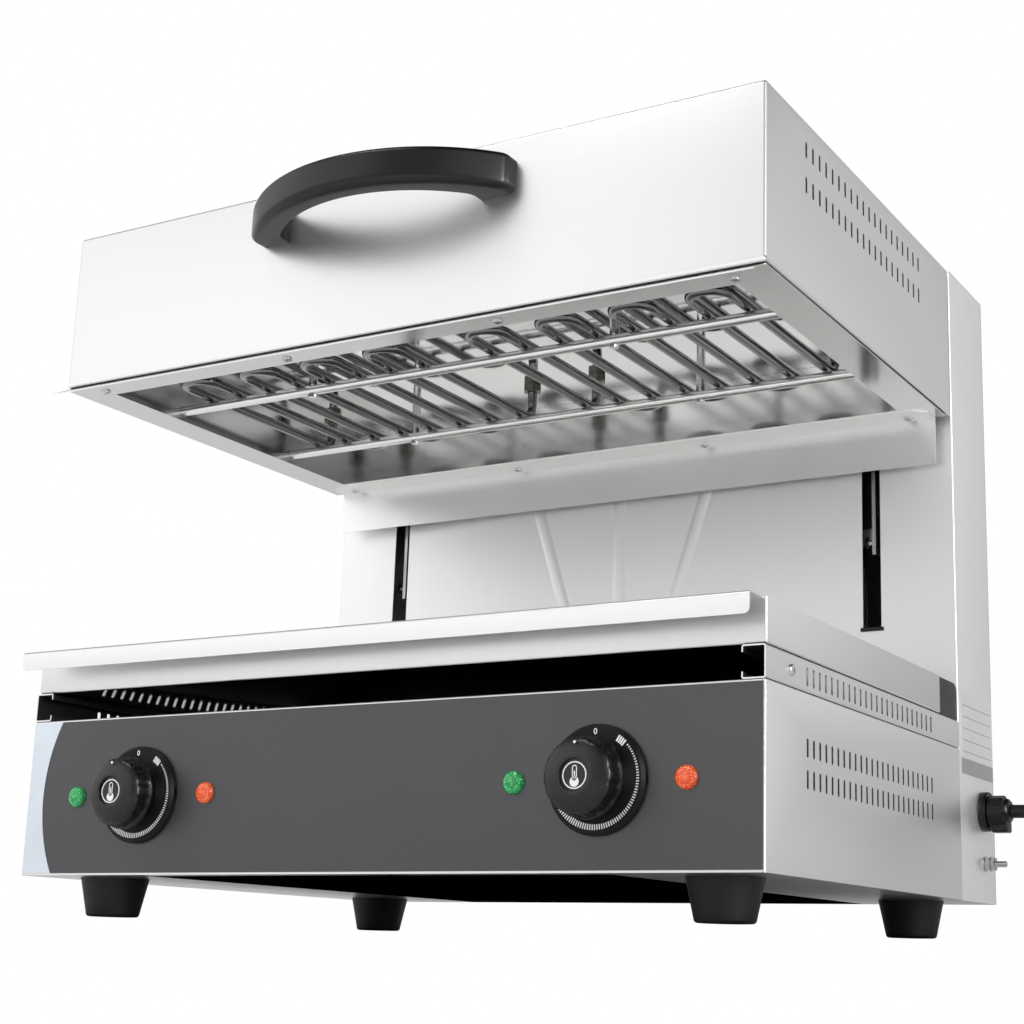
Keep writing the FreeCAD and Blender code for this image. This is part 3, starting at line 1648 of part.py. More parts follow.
def cord_and_plug():
    mouth = FreeCAD.Vector(
        number("half+gland_flange_thick+gland_length"), number("gland_y"), number("gland_level")
    )
    thick = number("cord_radius")
    low = thick - number("foot_height")
    route = [
        FreeCAD.Vector(mouth.x + out, mouth.y + along, low + share * (mouth.z - low))
        for out, along, share in CORD_ROUTE
    ]
    free = tube_along(rounded_route(route), thick)
    keep(formed("power_cord", free), "power_cord")
    turns = int(number("coil_turns"))
    radius = number("coil_radius")
    step = number("coil_step")
    start = route[-1]
    spot = FreeCAD.Vector(start.x + 2 * thick, start.y - radius - step * turns / 2, 0)
    high = low + step
    quarters = 4 * (2 * turns) + 2
    at = lambda turn: coil_point(turn, spot, turns, radius, step, low, high)
    spots = [at(i / 4) for i in range(quarters + 1)]
    small = 0.001
    ways = [FreeCAD.Vector(1, 0, 0)]
    for i in range(1, quarters):
        ways.append((at(i / 4 + small) - at(i / 4 - small)).normalize())
    last_way = at(quarters / 4) - at(quarters / 4 - small)
    ways.append(FreeCAD.Vector(last_way.x, last_way.y, 0).normalize())
    edges = [Part.LineSegment(start, spots[0]).toShape()]
    for i in range(quarters):
        edges.extend(biarc(spots[i], ways[i], spots[i + 1], ways[i + 1]))
    leave, leave_way = spots[-1], ways[-1]
    aside = FreeCAD.Vector(-leave_way.y, leave_way.x, 0)
    for part_turn in (0.5, 1.0):
        angle = math.radians(number("coil_leave")) * part_turn
        swing = leave_way * math.sin(angle) + aside * (1 - math.cos(angle))
        reached = leave + swing * number("coil_radius")
        if part_turn == 0.5:
            crown = reached
    edges.append(Part.Arc(leave, crown, reached).toShape())
    end_way = leave_way * math.cos(angle) + aside * math.sin(angle)
    tail = reached + end_way * (2 * thick)
    edges.append(Part.LineSegment(reached, tail).toShape())
    length = sum(edge.Length for edge in edges)
    keep(formed("cord_coil", tube_along(edges, thick)), "cord_coil")
    print("cord coil length", round(length), "free stretch", round(free.Volume / (math.pi * thick**2)))
    print("least gap between the coil's turns", round(coil_gap(edges, thick), 2))
    plug_at(tail, end_way)


def coil_gap(edges, thick):
    """Least distance between two points of the line that are over half a turn apart, less the cord."""
    line = []
    walked = 0.0
    for edge in edges:
        for p in edge.discretize(12)[:-1]:
            line.append((walked, p))
            walked += edge.Length / 11
    apart = math.pi * number("coil_radius") / 2
    least = min(
        (p - q).Length for a, p in line for b, q in line if b - a > apart
    )
    return least - 2 * thick


def plug_at(start, way):
    """A moulded two-pin plug that lies on the worktop at the cord's end."""
    length = number("plug_length")
    radius = number("plug_radius")
    thick = number("cord_radius")
    centre = FreeCAD.Vector(start.x, start.y, start.z)
    neck = Part.makeCone(thick + 1, thick + 4, length / 3, centre, way)
    shell = Part.makeCylinder(radius * 0.8, length * 0.4, centre + way * (length / 3), way)
    face = Part.makeCylinder(radius * 0.86, length * 0.3, centre + way * (length * 0.7), way)
    solid = neck.fuse(shell).fuse(face)
    across = FreeCAD.Vector(-way.y, way.x, 0)
    for hand in (-1, 1):
        foot = centre + way * length + across * (hand * number("plug_pin_spacing") / 2)
        pin = Part.makeCylinder(number("plug_pin_radius"), number("plug_pin_length"), foot, way)
        solid = solid.fuse(pin)
    print("plug lowest", round(solid.BoundBox.ZMin + number("foot_height"), 2))
    keep(formed("plug", solid.removeSplitter()), "plug")


base_shell()
base_plate()
fascia_films()
feet()
for channel_name, channel_side in SIDES:
    side_channel("channel_" + channel_name, channel_side)
panel_screws()
rear_buffers()
column_wrap()
column_back()
column_cap()
slot_bumpers()
guide_rods()
for end_name, end_side in SIDES:
    carriage("carriage_" + end_name, end_side)
    pulley("pulley_" + end_name, end_side)
    knob(end_name, end_side)
    element(end_name, end_side)
lift_carriage()
pulley_brackets()
counterweight()
lift_ropes()
dial_rings()
regulators()
pilot_lamps()
grill_pan()
wire_rack()
hood_shell()
hood_back()
hood_liner()
apron()
hood_screws()
reflector()
insulation()
element_terminals()
support_bars()
bar_bolts()
handle()
cable_gland()
earth_terminal()
terminal_block()
cord_and_plug()

doc.recompute()
faults = [o.Label for o in doc.Objects if "Invalid" in o.State or "Error" in o.State]
faults += [o.Label for o in kept if o.Shape.isNull() or not o.Shape.isValid() or not o.Shape.Solids]
if faults:
    raise RuntimeError("failed: " + ", ".join(faults))
for part in kept:
    part.Shape.exportStep(f"parts/{part.Label}.step")
print(len(kept), "sub-parts")
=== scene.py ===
import math

import bmesh
import bpy
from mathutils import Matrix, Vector


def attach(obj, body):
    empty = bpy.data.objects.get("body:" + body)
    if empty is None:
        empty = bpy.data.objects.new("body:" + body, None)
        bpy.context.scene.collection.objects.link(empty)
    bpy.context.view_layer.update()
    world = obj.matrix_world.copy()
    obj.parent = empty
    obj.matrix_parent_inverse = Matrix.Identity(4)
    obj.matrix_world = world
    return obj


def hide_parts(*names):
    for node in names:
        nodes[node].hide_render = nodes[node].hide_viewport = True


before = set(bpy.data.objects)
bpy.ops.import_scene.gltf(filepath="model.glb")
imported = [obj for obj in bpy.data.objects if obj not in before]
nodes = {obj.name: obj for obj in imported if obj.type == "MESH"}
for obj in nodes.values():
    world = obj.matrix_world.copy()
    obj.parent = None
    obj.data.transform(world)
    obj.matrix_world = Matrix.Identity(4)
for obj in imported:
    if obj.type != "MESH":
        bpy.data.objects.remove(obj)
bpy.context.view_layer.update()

scene = bpy.context.scene

# Camera: it stands in front to the right, a little lower than the worktop, and looks up.
# The lens and the small shifts are those of the photograph's frame.
camera = bpy.data.objects.new("camera", bpy.data.cameras.new("camera"))
scene.collection.objects.link(camera)
scene.camera = camera
camera.data.lens = 63.18
camera.data.shift_x = -0.0751
camera.data.shift_y = 0.0359
camera.location = (0.72997, -1.19527, -0.02848)
camera.rotation_euler = [math.radians(turn) for turn in (103.1313, -1.401, 29.3462)]

# Studio: white surroundings, bright in front and darker behind and overhead, a white floor
# that lets the low camera look through it from below, and soft lamps.


def linear(code):
    """An sRGB hex colour as linear red, green, blue and alpha."""
    parts = [int(code[i : i + 2], 16) / 255 for i in (0, 2, 4)]
    return [c / 12.92 if c <= 0.04045 else ((c + 0.055) / 1.055) ** 2.4 for c in parts] + [1.0]


def connect(tree, node, links):
    """Feeds outputs into a node's inputs, by name or number. A node stands for its first output."""
    for name, output in links.items():
        tree.links.new(getattr(output, "outputs", [output])[0], node.inputs[name])


def add_node(tree, kind, sockets=None, links=None, **settings):
    """Adds a shader node. sockets gives values and links gives outputs, by input name or number."""
    made = tree.nodes.new("ShaderNode" + kind)
    for name, value in settings.items():
        setattr(made, name, value)
    for name, value in (sockets or {}).items():
        made.inputs[name].default_value = value
    connect(tree, made, links or {})
    return made


world = bpy.data.worlds.new("white_studio")
scene.world = world
world.use_nodes = True
air = world.node_tree
air.nodes.clear()
ray = add_node(air, "LightPath").outputs
way = add_node(air, "TexCoord").outputs["Generated"]
parts = add_node(air, "SeparateXYZ", links={"Vector": way})
# What shiny surfaces mirror: stops of place and grey level over left to right, front to back
# and down to up. The three are multiplied.
mirrored = None
for axis, stops in (
    ("X", ((0.36, 1.0), (0.47, 0.45), (0.68, 0.4), (0.8, 1.0))),
    ("Y", ((0.1, 0.62), (0.3, 0.59), (0.5, 0.45), (0.62, 0.27), (0.78, 0.27), (0.9, 0.52))),
    ("Z", ((0.3, 0.5), (0.5, 0.6), (0.56, 0.9), (0.6, 1.0), (0.74, 1.0), (0.80, 0.75), (0.87, 0.15))),
):
    place = add_node(air, "MapRange", {"From Min": -1.0}, {"Value": parts.outputs[axis]})
    greys = add_node(air, "ValToRGB", links={"Fac": place})
    elements = greys.color_ramp.elements
    while len(elements) < len(stops):
        elements.new(0.5)
    for element, (position, grey) in zip(elements, stops):
        element.position = position
        element.color = (grey, grey, grey, 1)
    level = greys.outputs["Color"]
    if mirrored:
        both = {"A": mirrored, "B": level}
        joined = add_node(air, "Mix", {"Factor": 1.0}, both, data_type="RGBA", blend_type="MULTIPLY")
        level = joined.outputs["Result"]
    mirrored = level
glossy = add_node(air, "Background", {"Strength": 2.12}, {"Color": mirrored})
ambient = add_node(air, "Background", {"Color": linear("FFFFFF"), "Strength": 0.62})
white = add_node(air, "Background", {"Color": linear("FFFFFF")})
both = {0: ray["Is Glossy Ray"], 1: ambient, 2: glossy}
plain = add_node(air, "MixShader", links=both)
either = {0: ray["Is Camera Ray"], 1: ray["Is Transmission Ray"]}
seen = add_node(air, "Math", links=either, operation="MAXIMUM")
shown = add_node(air, "MixShader", links={0: seen, 1: plain, 2: white})
add_node(air, "OutputWorld", links={"Surface": shown})

REACH = 30.0
corners = [(-REACH, -REACH, 0), (REACH, -REACH, 0), (REACH, REACH, 0), (-REACH, REACH, 0)]
floor_mesh = bpy.data.meshes.new("floor")
floor_mesh.from_pydata(corners, [], [(0, 1, 2, 3)])
floor = bpy.data.objects.new("floor", floor_mesh)
# A hair under the feet, so that the two faces don't share a level.
floor.location.z = -0.0003
scene.collection.objects.link(floor)
# White seamless paper, matt. From below it is clear, and a share of plain white lifts what
# the camera sees of it.
PAPER_LIFT = 0.6
paper = bpy.data.materials.new("white_studio_paper")
paper.use_nodes = True
tree = paper.node_tree
tree.nodes.clear()
matt = add_node(tree, "BsdfDiffuse", {"Color": linear("F6F6F6")})
glow = add_node(tree, "Emission", {"Color": linear("FFFFFF")})
looked_at = add_node(tree, "LightPath").outputs["Is Camera Ray"]
lift = add_node(tree, "Math", {1: PAPER_LIFT}, {0: looked_at}, operation="MULTIPLY")
lifted = add_node(tree, "MixShader", links={0: lift, 1: matt, 2: glow})
clear = add_node(tree, "BsdfTransparent")
side = add_node(tree, "NewGeometry")
both = {0: side.outputs["Backfacing"], 1: lifted, 2: clear}
lit = add_node(tree, "MixShader", links=both)
add_node(tree, "OutputMaterial", links={"Surface": lit})
floor_mesh.materials.append(paper)


def soft_lamp(name, place, aim, size, power, mirrored):
    """A lamp behind a diffuser. A mirrored one shows in shiny surfaces and lights nothing else."""
    lamp = bpy.data.lights.new(name, "AREA")
    lamp.shape = "RECTANGLE"
    lamp.size, lamp.size_y = size
    lamp.energy = power
    holder = bpy.data.objects.new(name, lamp)
    scene.collection.objects.link(holder)
    holder.location = place
    holder.rotation_euler = (Vector(aim) - Vector(place)).to_track_quat("-Z", "Y").to_euler()
    holder.visible_camera = False
    holder.visible_glossy = mirrored
    holder.visible_diffuse = not mirrored


# Each: where it stands, what it looks at, its size and its power in watts.
soft_lamp("key_lamp", (-1.9, -1.6, 2.3), (0, -0.1, 0.3), (2.0, 1.6), 34, False)
soft_lamp("low_lamp", (0.1, -1.7, 0.25), (0, 0, 0.4), (1.6, 0.4), 7, False)
soft_lamp("strip_lamp", (-0.5, -1.3, 2.2), (0, -0.2, 0.3), (1.2, 0.12), 9, True)
soft_lamp("side_strip", (2.4, -1.0, 0.6), (0, -0.2, 0.3), (0.25, 1.6), 40, True)

# Casing: one folded stainless sheet makes the front, the sides and the deck, open below and
# behind. Its sides are pierced with two rows of round-ended slots, its front for the controls.
WIDTH = 600
BASE_DEPTH = 364
BASE_HEIGHT = 114
BASE_BEND = 1.2
SHEET = 1.0
# How far the frame's origin lies behind the fascia and below the casing.
FASCIA_FRONT = 224.5
FOOT_HEIGHT = 28
# Width and height of a vent slot, the lower edges of its rows, and the places along a row.
VENT = (3, 12)
VENT_ROWS = (54, 73.5)
VENT_START = 62.5
VENT_PITCH = 10.2
VENT_COUNT = 24
KNOB_X = 188
KNOB_LEVEL = 56.5
PILOT_OFFSET = 61
SPINDLE_HOLE = 3.6
PILOT_HOLE = 5.1
# Cutters stand this far out of the sheet on both sides.
CUT = 5


def spot(x, y, z):
    """A place in metres from drawing sizes, whose zero is at the fascia and the casing's underside."""
    return Vector((x, y - FASCIA_FRONT, z + FOOT_HEIGHT)) / 1000


def to_mesh(work, name):
    mesh = bpy.data.meshes.new(name)
    bmesh.ops.recalc_face_normals(work, faces=work.faces)
    work.to_mesh(mesh)
    work.free()
    return mesh


def put(name, shape, material, body, stands_for=(), angle=30, inside=None):
    """Puts a bmesh or mesh into the scene as a piece that rides a body.

    Edges over the angle stay sharp. inside is a second material, with a test on place and
    direction for the faces that have it.
    """
    mesh = to_mesh(shape, name) if isinstance(shape, bmesh.types.BMesh) else shape
    mesh.shade_smooth()
    mesh.set_sharp_from_angle(angle=math.radians(angle))
    mesh.materials.clear()
    mesh.materials.append(material)
    if inside:
        mesh.materials.append(inside[0])
        for face in mesh.polygons:
            face.material_index = int(inside[1](face.center * 1000, face.normal))
    piece = bpy.data.objects.new(name, mesh)
    scene.collection.objects.link(piece)
    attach(piece, body)
    if stands_for:
        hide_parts(*stands_for)


def baked(work, name, *modifiers, cuts=None):
    """The mesh of a bmesh after modifiers, given as kind and settings, less the solids in cuts."""
    holders = [bpy.data.objects.new(name, to_mesh(one, name)) for one in (work, cuts) if one]
    for holder in holders:
        scene.collection.objects.link(holder)
    steps = list(modifiers)
    if cuts:
        steps.append(("BOOLEAN", {"object": holders[1], "solver": "EXACT", "use_self": True}))
    for kind, settings in steps:
        modifier = holders[0].modifiers.new(kind.lower(), kind)
        for key, value in settings.items():
            setattr(modifier, key, value)
    done = holders[0].evaluated_get(bpy.context.evaluated_depsgraph_get())
    result = bpy.data.meshes.new_from_object(done)
    for holder in holders:
        old = holder.data
        bpy.data.objects.remove(holder)
        bpy.data.meshes.remove(old)
    result.name = name
    return result


# For a loop across each axis: where its two coordinates and the level go in x, y and z.
AXES = {"x": (1, 2, 0), "y": (0, 2, 1), "z": (0, 1, 2)}


def loft(work, rings):
    """Skins rings of equally many points and closes both ends."""
    rows = [[work.verts.new(point) for point in one] for one in rings]
    for near, far in zip(rows, rows[1:]):
        for i in range(len(near)):
            j = (i + 1) % len(near)
            work.faces.new((near[i], near[j], far[j], far[i]))
    work.faces.new(rows[0])
    work.faces.new(rows[-1])


def placed(loop, level, axis):
    """Points of a flat loop that lies across an axis at a level."""
    points = []
    for u, v in loop:
        place = [0, 0, 0]
        for value, n in zip((u, v, level), AXES[axis]):
            place[n] = value
        points.append(spot(*place))
    return points


def prism(work, loop, low, high, axis):
    loft(work, [placed(loop, low, axis), placed(loop, high, axis)])


def oblong(left, low, right, high):
    return [(left, low), (right, low), (right, high), (left, high)]


def round_slot(u, v, wide, tall, steps=6):
    """A slot's outline with half-round ends; (u, v) is its lower left corner."""
    half = wide / 2
    points = []
    for middle, start in ((tall - half, 0), (half, math.pi)):
        for i in range(steps + 1):
            angle = start + math.pi * i / steps
            points.append((u + half + half * math.cos(angle), v + middle + half * math.sin(angle)))
    return points


def ring(u, v, radius, steps=24):
    turns = [2 * math.pi * i / steps for i in range(steps)]
    return [(u + radius * math.cos(turn), v + radius * math.sin(turn)) for turn in turns]


def folded_box(low, high, open_sides, bend, fold=0.0):
    """The skin of a folded sheet box, round at its bends; fold turns the open bottom's edge in."""
    work = bmesh.new()
    ends = (low, high)
    corner = {}
    for i in (0, 1):
        for j in (0, 1):
            for k in (0, 1):
                corner[i, j, k] = work.verts.new(spot(ends[i][0], ends[j][1], ends[k][2]))
    made = {}
    for axis, names in enumerate((("left", "right"), ("front", "back"), ("bottom", "top"))):
        for end, name in enumerate(names):
            around = [[0, 0], [1, 0], [1, 1], [0, 1]]
            for pair in around:
                pair.insert(axis, end)
            made[name] = work.faces.new([corner[tuple(pair)] for pair in around])
    if fold:
        rim = bmesh.ops.inset_region(work, faces=[made["bottom"]], thickness=fold / 1000)["faces"]
        rearmost = max(rim, key=lambda face: face.calc_center_median().y)
        bmesh.ops.delete(work, geom=[rearmost], context="FACES")
    bmesh.ops.delete(work, geom=[made[name] for name in open_sides], context="FACES")
    bmesh.ops.recalc_face_normals(work, faces=work.faces)
    bends = [e for e in work.edges if len(e.link_faces) == 2 and e.calc_face_angle(0) > 0.1]
    bmesh.ops.bevel(work, geom=bends, offset=bend / 1000, segments=4, profile=0.5, affect="EDGES")
    return work


THICKEN = ("SOLIDIFY", {"thickness": SHEET / 1000, "offset": -1.0, "use_even_offset": True})


def vent_row(cuts, low, start, pitch, count, left, right):
    for i in range(count):
        prism(cuts, round_slot(start + pitch * i, low, *VENT), left, right, "x")


def new_finish(name):
    """A new material, its tree, its shader and the place on the piece for its patterns."""
    made = bpy.data.materials.new(name)
    made.use_nodes = True
    tree = made.node_tree
    return made, tree, tree.nodes["Principled BSDF"], add_node(tree, "TexCoord").outputs["Object"]


def steel_finish(
    name, colour, rough, grain=(0.02, 0.02, 1.0), spacing=0.0012, spread=0.02, relief=0.04, metal=1.0
):
    """Steel with fine lines, spacing apart; grain stretches the pattern along the lines."""
    made, tree, shader, place = new_finish(name)
    stretched = add_node(tree, "Mapping", {"Scale": grain}, {"Vector": place}).outputs["Vector"]
    fine = {"Scale": 1 / spacing, "Detail": 2.0, "Roughness": 0.5}
    lines = add_node(tree, "TexNoise", fine, {"Vector": stretched}).outputs["Fac"]
    clouds = add_node(tree, "TexNoise", {"Scale": 1 / 0.12}, {"Vector": place}).outputs["Fac"]
    tone = add_node(tree, "Mix", {"Factor": 0.3}, {"A": lines, "B": clouds}, data_type="FLOAT")
    tone = tone.outputs["Result"]
    span = {"From Min": 0.3, "From Max": 0.7}
    tones = {**span, "To Min": 1 - spread, "To Max": 1.0}
    shade = add_node(tree, "MapRange", tones, {"Value": tone})
    base, over = {"Factor": 1.0, "A": linear(colour)}, {"B": shade}
    tint = add_node(tree, "Mix", base, over, data_type="RGBA", blend_type="MULTIPLY")
    blurs = {**span, "To Min": rough - spread, "To Max": rough + spread}
    gloss = add_node(tree, "MapRange", blurs, {"Value": tone})
    bump = add_node(tree, "Bump", {"Strength": relief, "Distance": 0.00004}, {"Height": lines})
    connect(tree, shader, {"Base Color": tint.outputs["Result"], "Roughness": gloss, "Normal": bump})
    shader.inputs["Metallic"].default_value = metal
    return made


# Stainless sheet, ground satin: pale, softly blurred reflections and fine level lines.
# The real lines are 0.1 mm apart; they are drawn 1.2 mm apart so that they show.
satin = steel_finish("stainless_steel_ground_satin", "EAEAE9", 0.36)
# Its unpolished inner side: rougher and blurred, and dark as painted shade, on the deck, on what looks
# down and inside the sheets.
inner_steel_painted_shade = steel_finish("stainless_steel_rough_inner_painted_shade", "5E5C5A", 0.5, (1, 1, 1), 0.006)

cuts = bmesh.new()
for row in VENT_ROWS:
    vent_row(cuts, row, VENT_START, VENT_PITCH, VENT_COUNT, -WIDTH, WIDTH)
for side in (-1, 1):
    prism(cuts, ring(side * KNOB_X, KNOB_LEVEL, SPINDLE_HOLE), -CUT, CUT, "y")
    for hand in (-1, 1):
        hole = ring(side * KNOB_X + hand * PILOT_OFFSET, KNOB_LEVEL, PILOT_HOLE)
        prism(cuts, hole, -CUT, CUT, "y")
skin = folded_box(
    (-WIDTH / 2, 0, 0), (WIDTH / 2, BASE_DEPTH, BASE_HEIGHT), ("bottom", "back"), BASE_BEND
)
mesh = baked(skin, "casing_sheet", THICKEN, cuts=cuts)
DECK = BASE_HEIGHT + FOOT_HEIGHT - 0.1


def gets_painted_shade(middle, way):
    """Faces that get the painted shade: the deck's top, what looks down, and the inner faces of the two
    sides.
    """
    return way.z > 0.9 and middle.z > DECK or middle.x * way.x < -250 or way.z < -0.9


# The casing's inner faces, deck top and undersides get the dark painted shade.
painted_shade_side = (inner_steel_painted_shade, gets_painted_shade)
put("casing_sheet", mesh, satin, "stand", ["base_shell"], inside=painted_shade_side)


def dress(material, *names, ease=0.0):
    """Gives nodes that stay their material. ease rounds their sharp edges, in millimetres."""
    for name in names:
        piece = nodes[name]
        piece.data.materials.clear()
        piece.data.materials.append(material)
        if ease:
            bevel = piece.modifiers.new("eased_edges", "BEVEL")
            bevel.width = ease / 1000
            bevel.segments = 2
            bevel.limit_method = "ANGLE"
            bevel.angle_limit = math.radians(40)
            bevel.harden_normals = True


# Brackets and hidden panels: folded galvanised sheet, screwed inside the column and the hood.
# The zinc gives it a bluish grey with a faint cloudy spangle.
zinc_sheet = steel_finish("galvanised_steel_sheet", "B9BCBE", 0.36, (1, 1, 1), 0.012, 0.08)
dress(
    zinc_sheet, "column_back", "rod_brackets", "pulley_brackets", "hood_back", "carriage_left",
    "carriage_right", "carriage_beam",
)

# Bottom plate: the same galvanised sheet with a pressed panel, screwed under the casing.
# Its middle, between the feet and behind the front strip, is matt black: painted shade for the shade
# under the casing, which swallows the light from the floor.
SHADE_HALF = 190
SHADE_FRONT = 15
plate_steel_with_painted_shade = steel_finish("galvanised_steel_sheet_painted_shade", "C6C8CA", 0.3, (1, 1, 1), 0.02, 0.02, 0.01)
tree = plate_steel_with_painted_shade.node_tree
shader = tree.nodes["Principled BSDF"]
position = add_node(tree, "NewGeometry").outputs["Position"]
parts = add_node(tree, "SeparateXYZ", links={"Vector": position}).outputs
across = add_node(tree, "Math", links={0: parts["X"]}, operation="ABSOLUTE")
within = add_node(tree, "Math", {1: SHADE_HALF / 1000}, {0: across}, operation="LESS_THAN")
line = spot(0, SHADE_FRONT, 0).y
behind = add_node(tree, "Math", {1: line}, {0: parts["Y"]}, operation="GREATER_THAN")
shade_mask = add_node(tree, "Math", links={0: within, 1: behind}, operation="MULTIPLY")
# Painted shade: a matt black diffuse mixed in over the masked middle.
shade_black = add_node(tree, "BsdfDiffuse", {"Color": linear("0C0C0C")})
part = add_node(tree, "MixShader", links={0: shade_mask, 1: shader, 2: shade_black})
connect(tree, tree.nodes["Material Output"], {"Surface": part})
dress(plate_steel_with_painted_shade, "base_plate")

# Side channels: C sections between casing and pan; each has one row of the casing's slots.
# They are spot welded to the deck, and the open slot between them in front takes the crumbs.
CHANNEL_TOP = 135
CHANNEL_WIDE = 16
CHANNEL_LIP = 4
CHANNEL_BEND = 0.6
CHANNEL_VENTS = 118
# Faces nearer to the middle than this are the channel's inner ones.
CHANNEL_SKIN = 299.4


def strip(path, thick, bend, steps=4):
    """Outline of a bent strip whose middle runs along the path."""
    path = [Vector(point) for point in path]
    rails = []
    for i, point in enumerate(path):
        before = (point - path[i - 1]).normalized() if i else None
        after = (path[i + 1] - point).normalized() if i + 1 < len(path) else None
        if before is None or after is None:
            way = before or after
            rails.append((point, Vector((-way.y, way.x))))
            continue
        turn = before.angle_signed(after)
        radius = bend + thick / 2
        start = point - before * radius * math.tan(abs(turn) / 2)
        hand = 1 if turn > 0 else -1
        hub = start - hand * radius * Vector((-before.y, before.x))
        arm = start - hub
        for k in range(steps + 1):
            angle = -turn * k / steps
            cos, sin = math.cos(angle), math.sin(angle)
            swung = Vector((arm.x * cos - arm.y * sin, arm.x * sin + arm.y * cos))
            rails.append((hub + swung, swung.normalized() * hand))
    there = [tuple(p + n * thick / 2) for p, n in rails]
    return there + [tuple(p - n * thick / 2) for p, n in rails[::-1]]


for name, side in (("left", -1), ("right", 1)):
    lip = side * (WIDTH / 2 - CHANNEL_WIDE + SHEET / 2)
    web = side * (WIDTH / 2 - SHEET / 2)
    low, top = BASE_HEIGHT + SHEET / 2, CHANNEL_TOP - SHEET / 2
    path = [
        (lip, low + CHANNEL_LIP), (lip, low), (web, low),
        (web, top), (lip, top), (lip, top - CHANNEL_LIP),
    ]
    work = bmesh.new()
    prism(work, strip(path, SHEET, CHANNEL_BEND), 0, BASE_DEPTH, "y")
    cuts = bmesh.new()
    reach = sorted((side * (WIDTH / 2 - CUT), side * (WIDTH / 2 + CUT)))
    vent_row(cuts, CHANNEL_VENTS, VENT_START, VENT_PITCH, VENT_COUNT, *reach)
    mesh = baked(work, "channel_sheet_" + name, cuts=cuts)
    # The channels' inner faces get the dark painted shade too.
    put(
        "channel_sheet_" + name, mesh, satin, "stand", ["channel_" + name],
        inside=(inner_steel_painted_shade, lambda middle, way: abs(middle.x) < CHANNEL_SKIN and abs(way.y) < 0.9),
    )

# Fascia: printed polyester film in two tints, glued to the casing's front.
# A thin dark blue line is printed along the arc that parts the tints.


def plastic_finish(name, colour, rough, grain=0.001, depth=0.00003, sheen=0.5):
    """A moulded or printed surface with a fine texture of the given grain."""
    made, tree, shader, place = new_finish(name)
    specks = add_node(tree, "TexNoise", {"Scale": 1 / grain}, {"Vector": place}).outputs["Fac"]
    drift = add_node(tree, "TexNoise", {"Scale": 1 / 0.05}, {"Vector": place}).outputs["Fac"]
    shade = add_node(tree, "MapRange", {"To Min": 0.9, "To Max": 1.1}, {"Value": drift})
    base, over = {"Factor": 1.0, "A": linear(colour)}, {"B": shade}
    tint = add_node(tree, "Mix", base, over, data_type="RGBA", blend_type="MULTIPLY")
    blurs = {"To Min": rough - 0.04, "To Max": rough + 0.04}
    spread = add_node(tree, "MapRange", blurs, {"Value": specks})
    bump = add_node(tree, "Bump", {"Strength": 0.25, "Distance": depth}, {"Height": specks})
    connect(tree, shader, {"Base Color": tint.outputs["Result"], "Roughness": spread, "Normal": bump})
    shader.inputs["Specular IOR Level"].default_value = sheen
    return made


# Matt-laminated polyester film, printed from behind: even, with a soft wide sheen.
dark_film = plastic_finish("polyester_film_dark_grey_print", "363639", 0.36, 0.0006, 0.000006, 0.7)
dress(dark_film, "fascia_dark")
pale_film = plastic_finish("polyester_film_pale_blue_print", "D3DAE3", 0.4, 0.0006, 0.00001, 0.3)
dress(pale_film, "fascia_light")
ink_blue = plastic_finish("blue_printing_ink", "2A3358", 0.5)
ARC_END = -270
ARC_RADIUS = 119
FILM_HALF = 55.5
FILM_MIDDLE = 57
# The line's outer edge lies just inside the film's.
LINE_RADIUS = ARC_RADIUS - 0.1
LINE_WIDE = 0.5
LINE_FACE, LINE_BACK = -0.62, -0.55
ARC_STEPS = 40
hub = ARC_END + math.sqrt(ARC_RADIUS**2 - FILM_HALF**2)
sweep = math.asin(FILM_HALF / ARC_RADIUS)
turns = [sweep * (2 * i / ARC_STEPS - 1) for i in range(ARC_STEPS + 1)]
arcs = [
    [(hub - radius * math.cos(turn), FILM_MIDDLE + radius * math.sin(turn)) for turn in turns]
    for radius in (LINE_RADIUS, LINE_RADIUS - LINE_WIDE)
]
work = bmesh.new()
prism(work, arcs[0] + arcs[1][::-1], LINE_FACE, LINE_BACK, "y")
put("fascia_arc_line", work, ink_blue, "stand")

# Rubber: feet screwed under the casing, buffers behind the pan, bumpers pressed into the
# lower ends of the column's slots, and the plug.
# Black nitrile, moulded in blasted tools: matt, with a fine texture.
rubber = plastic_finish("black_nitrile_rubber", "131313", 0.55, 0.0012, 0.00002, 0.4)
dress(rubber, "feet", "plug")
# Black chloroprene, moulded in smooth tools: deeper and with a soft shine.
smooth_rubber = plastic_finish("black_chloroprene_rubber", "080808", 0.28, 0.002, 0.00001, 0.3)
dress(smooth_rubber, "rear_buffers", "slot_bumpers", ease=0.8)

# Column: folded stainless front and sides with vertical grinding lines, two long slots for
# the carriage and three pressed ribs that stiffen the front; a flat cap closes the top.
COLUMN_TOP = 503.5
DEPTH = 449
COLUMN_BEND = 1.5
SLOT_X = 231
SLOT_HALF = 7.75
SLOT_LOW, SLOT_TOP = 210, 494
# Behind the casing the front sheet is cut away, for the wires.
PASSAGE_HALF = 299
PASSAGE_TOP = 102
# Cutters through the front sheet span these depths.
FRONT_CUT = (350, 380)
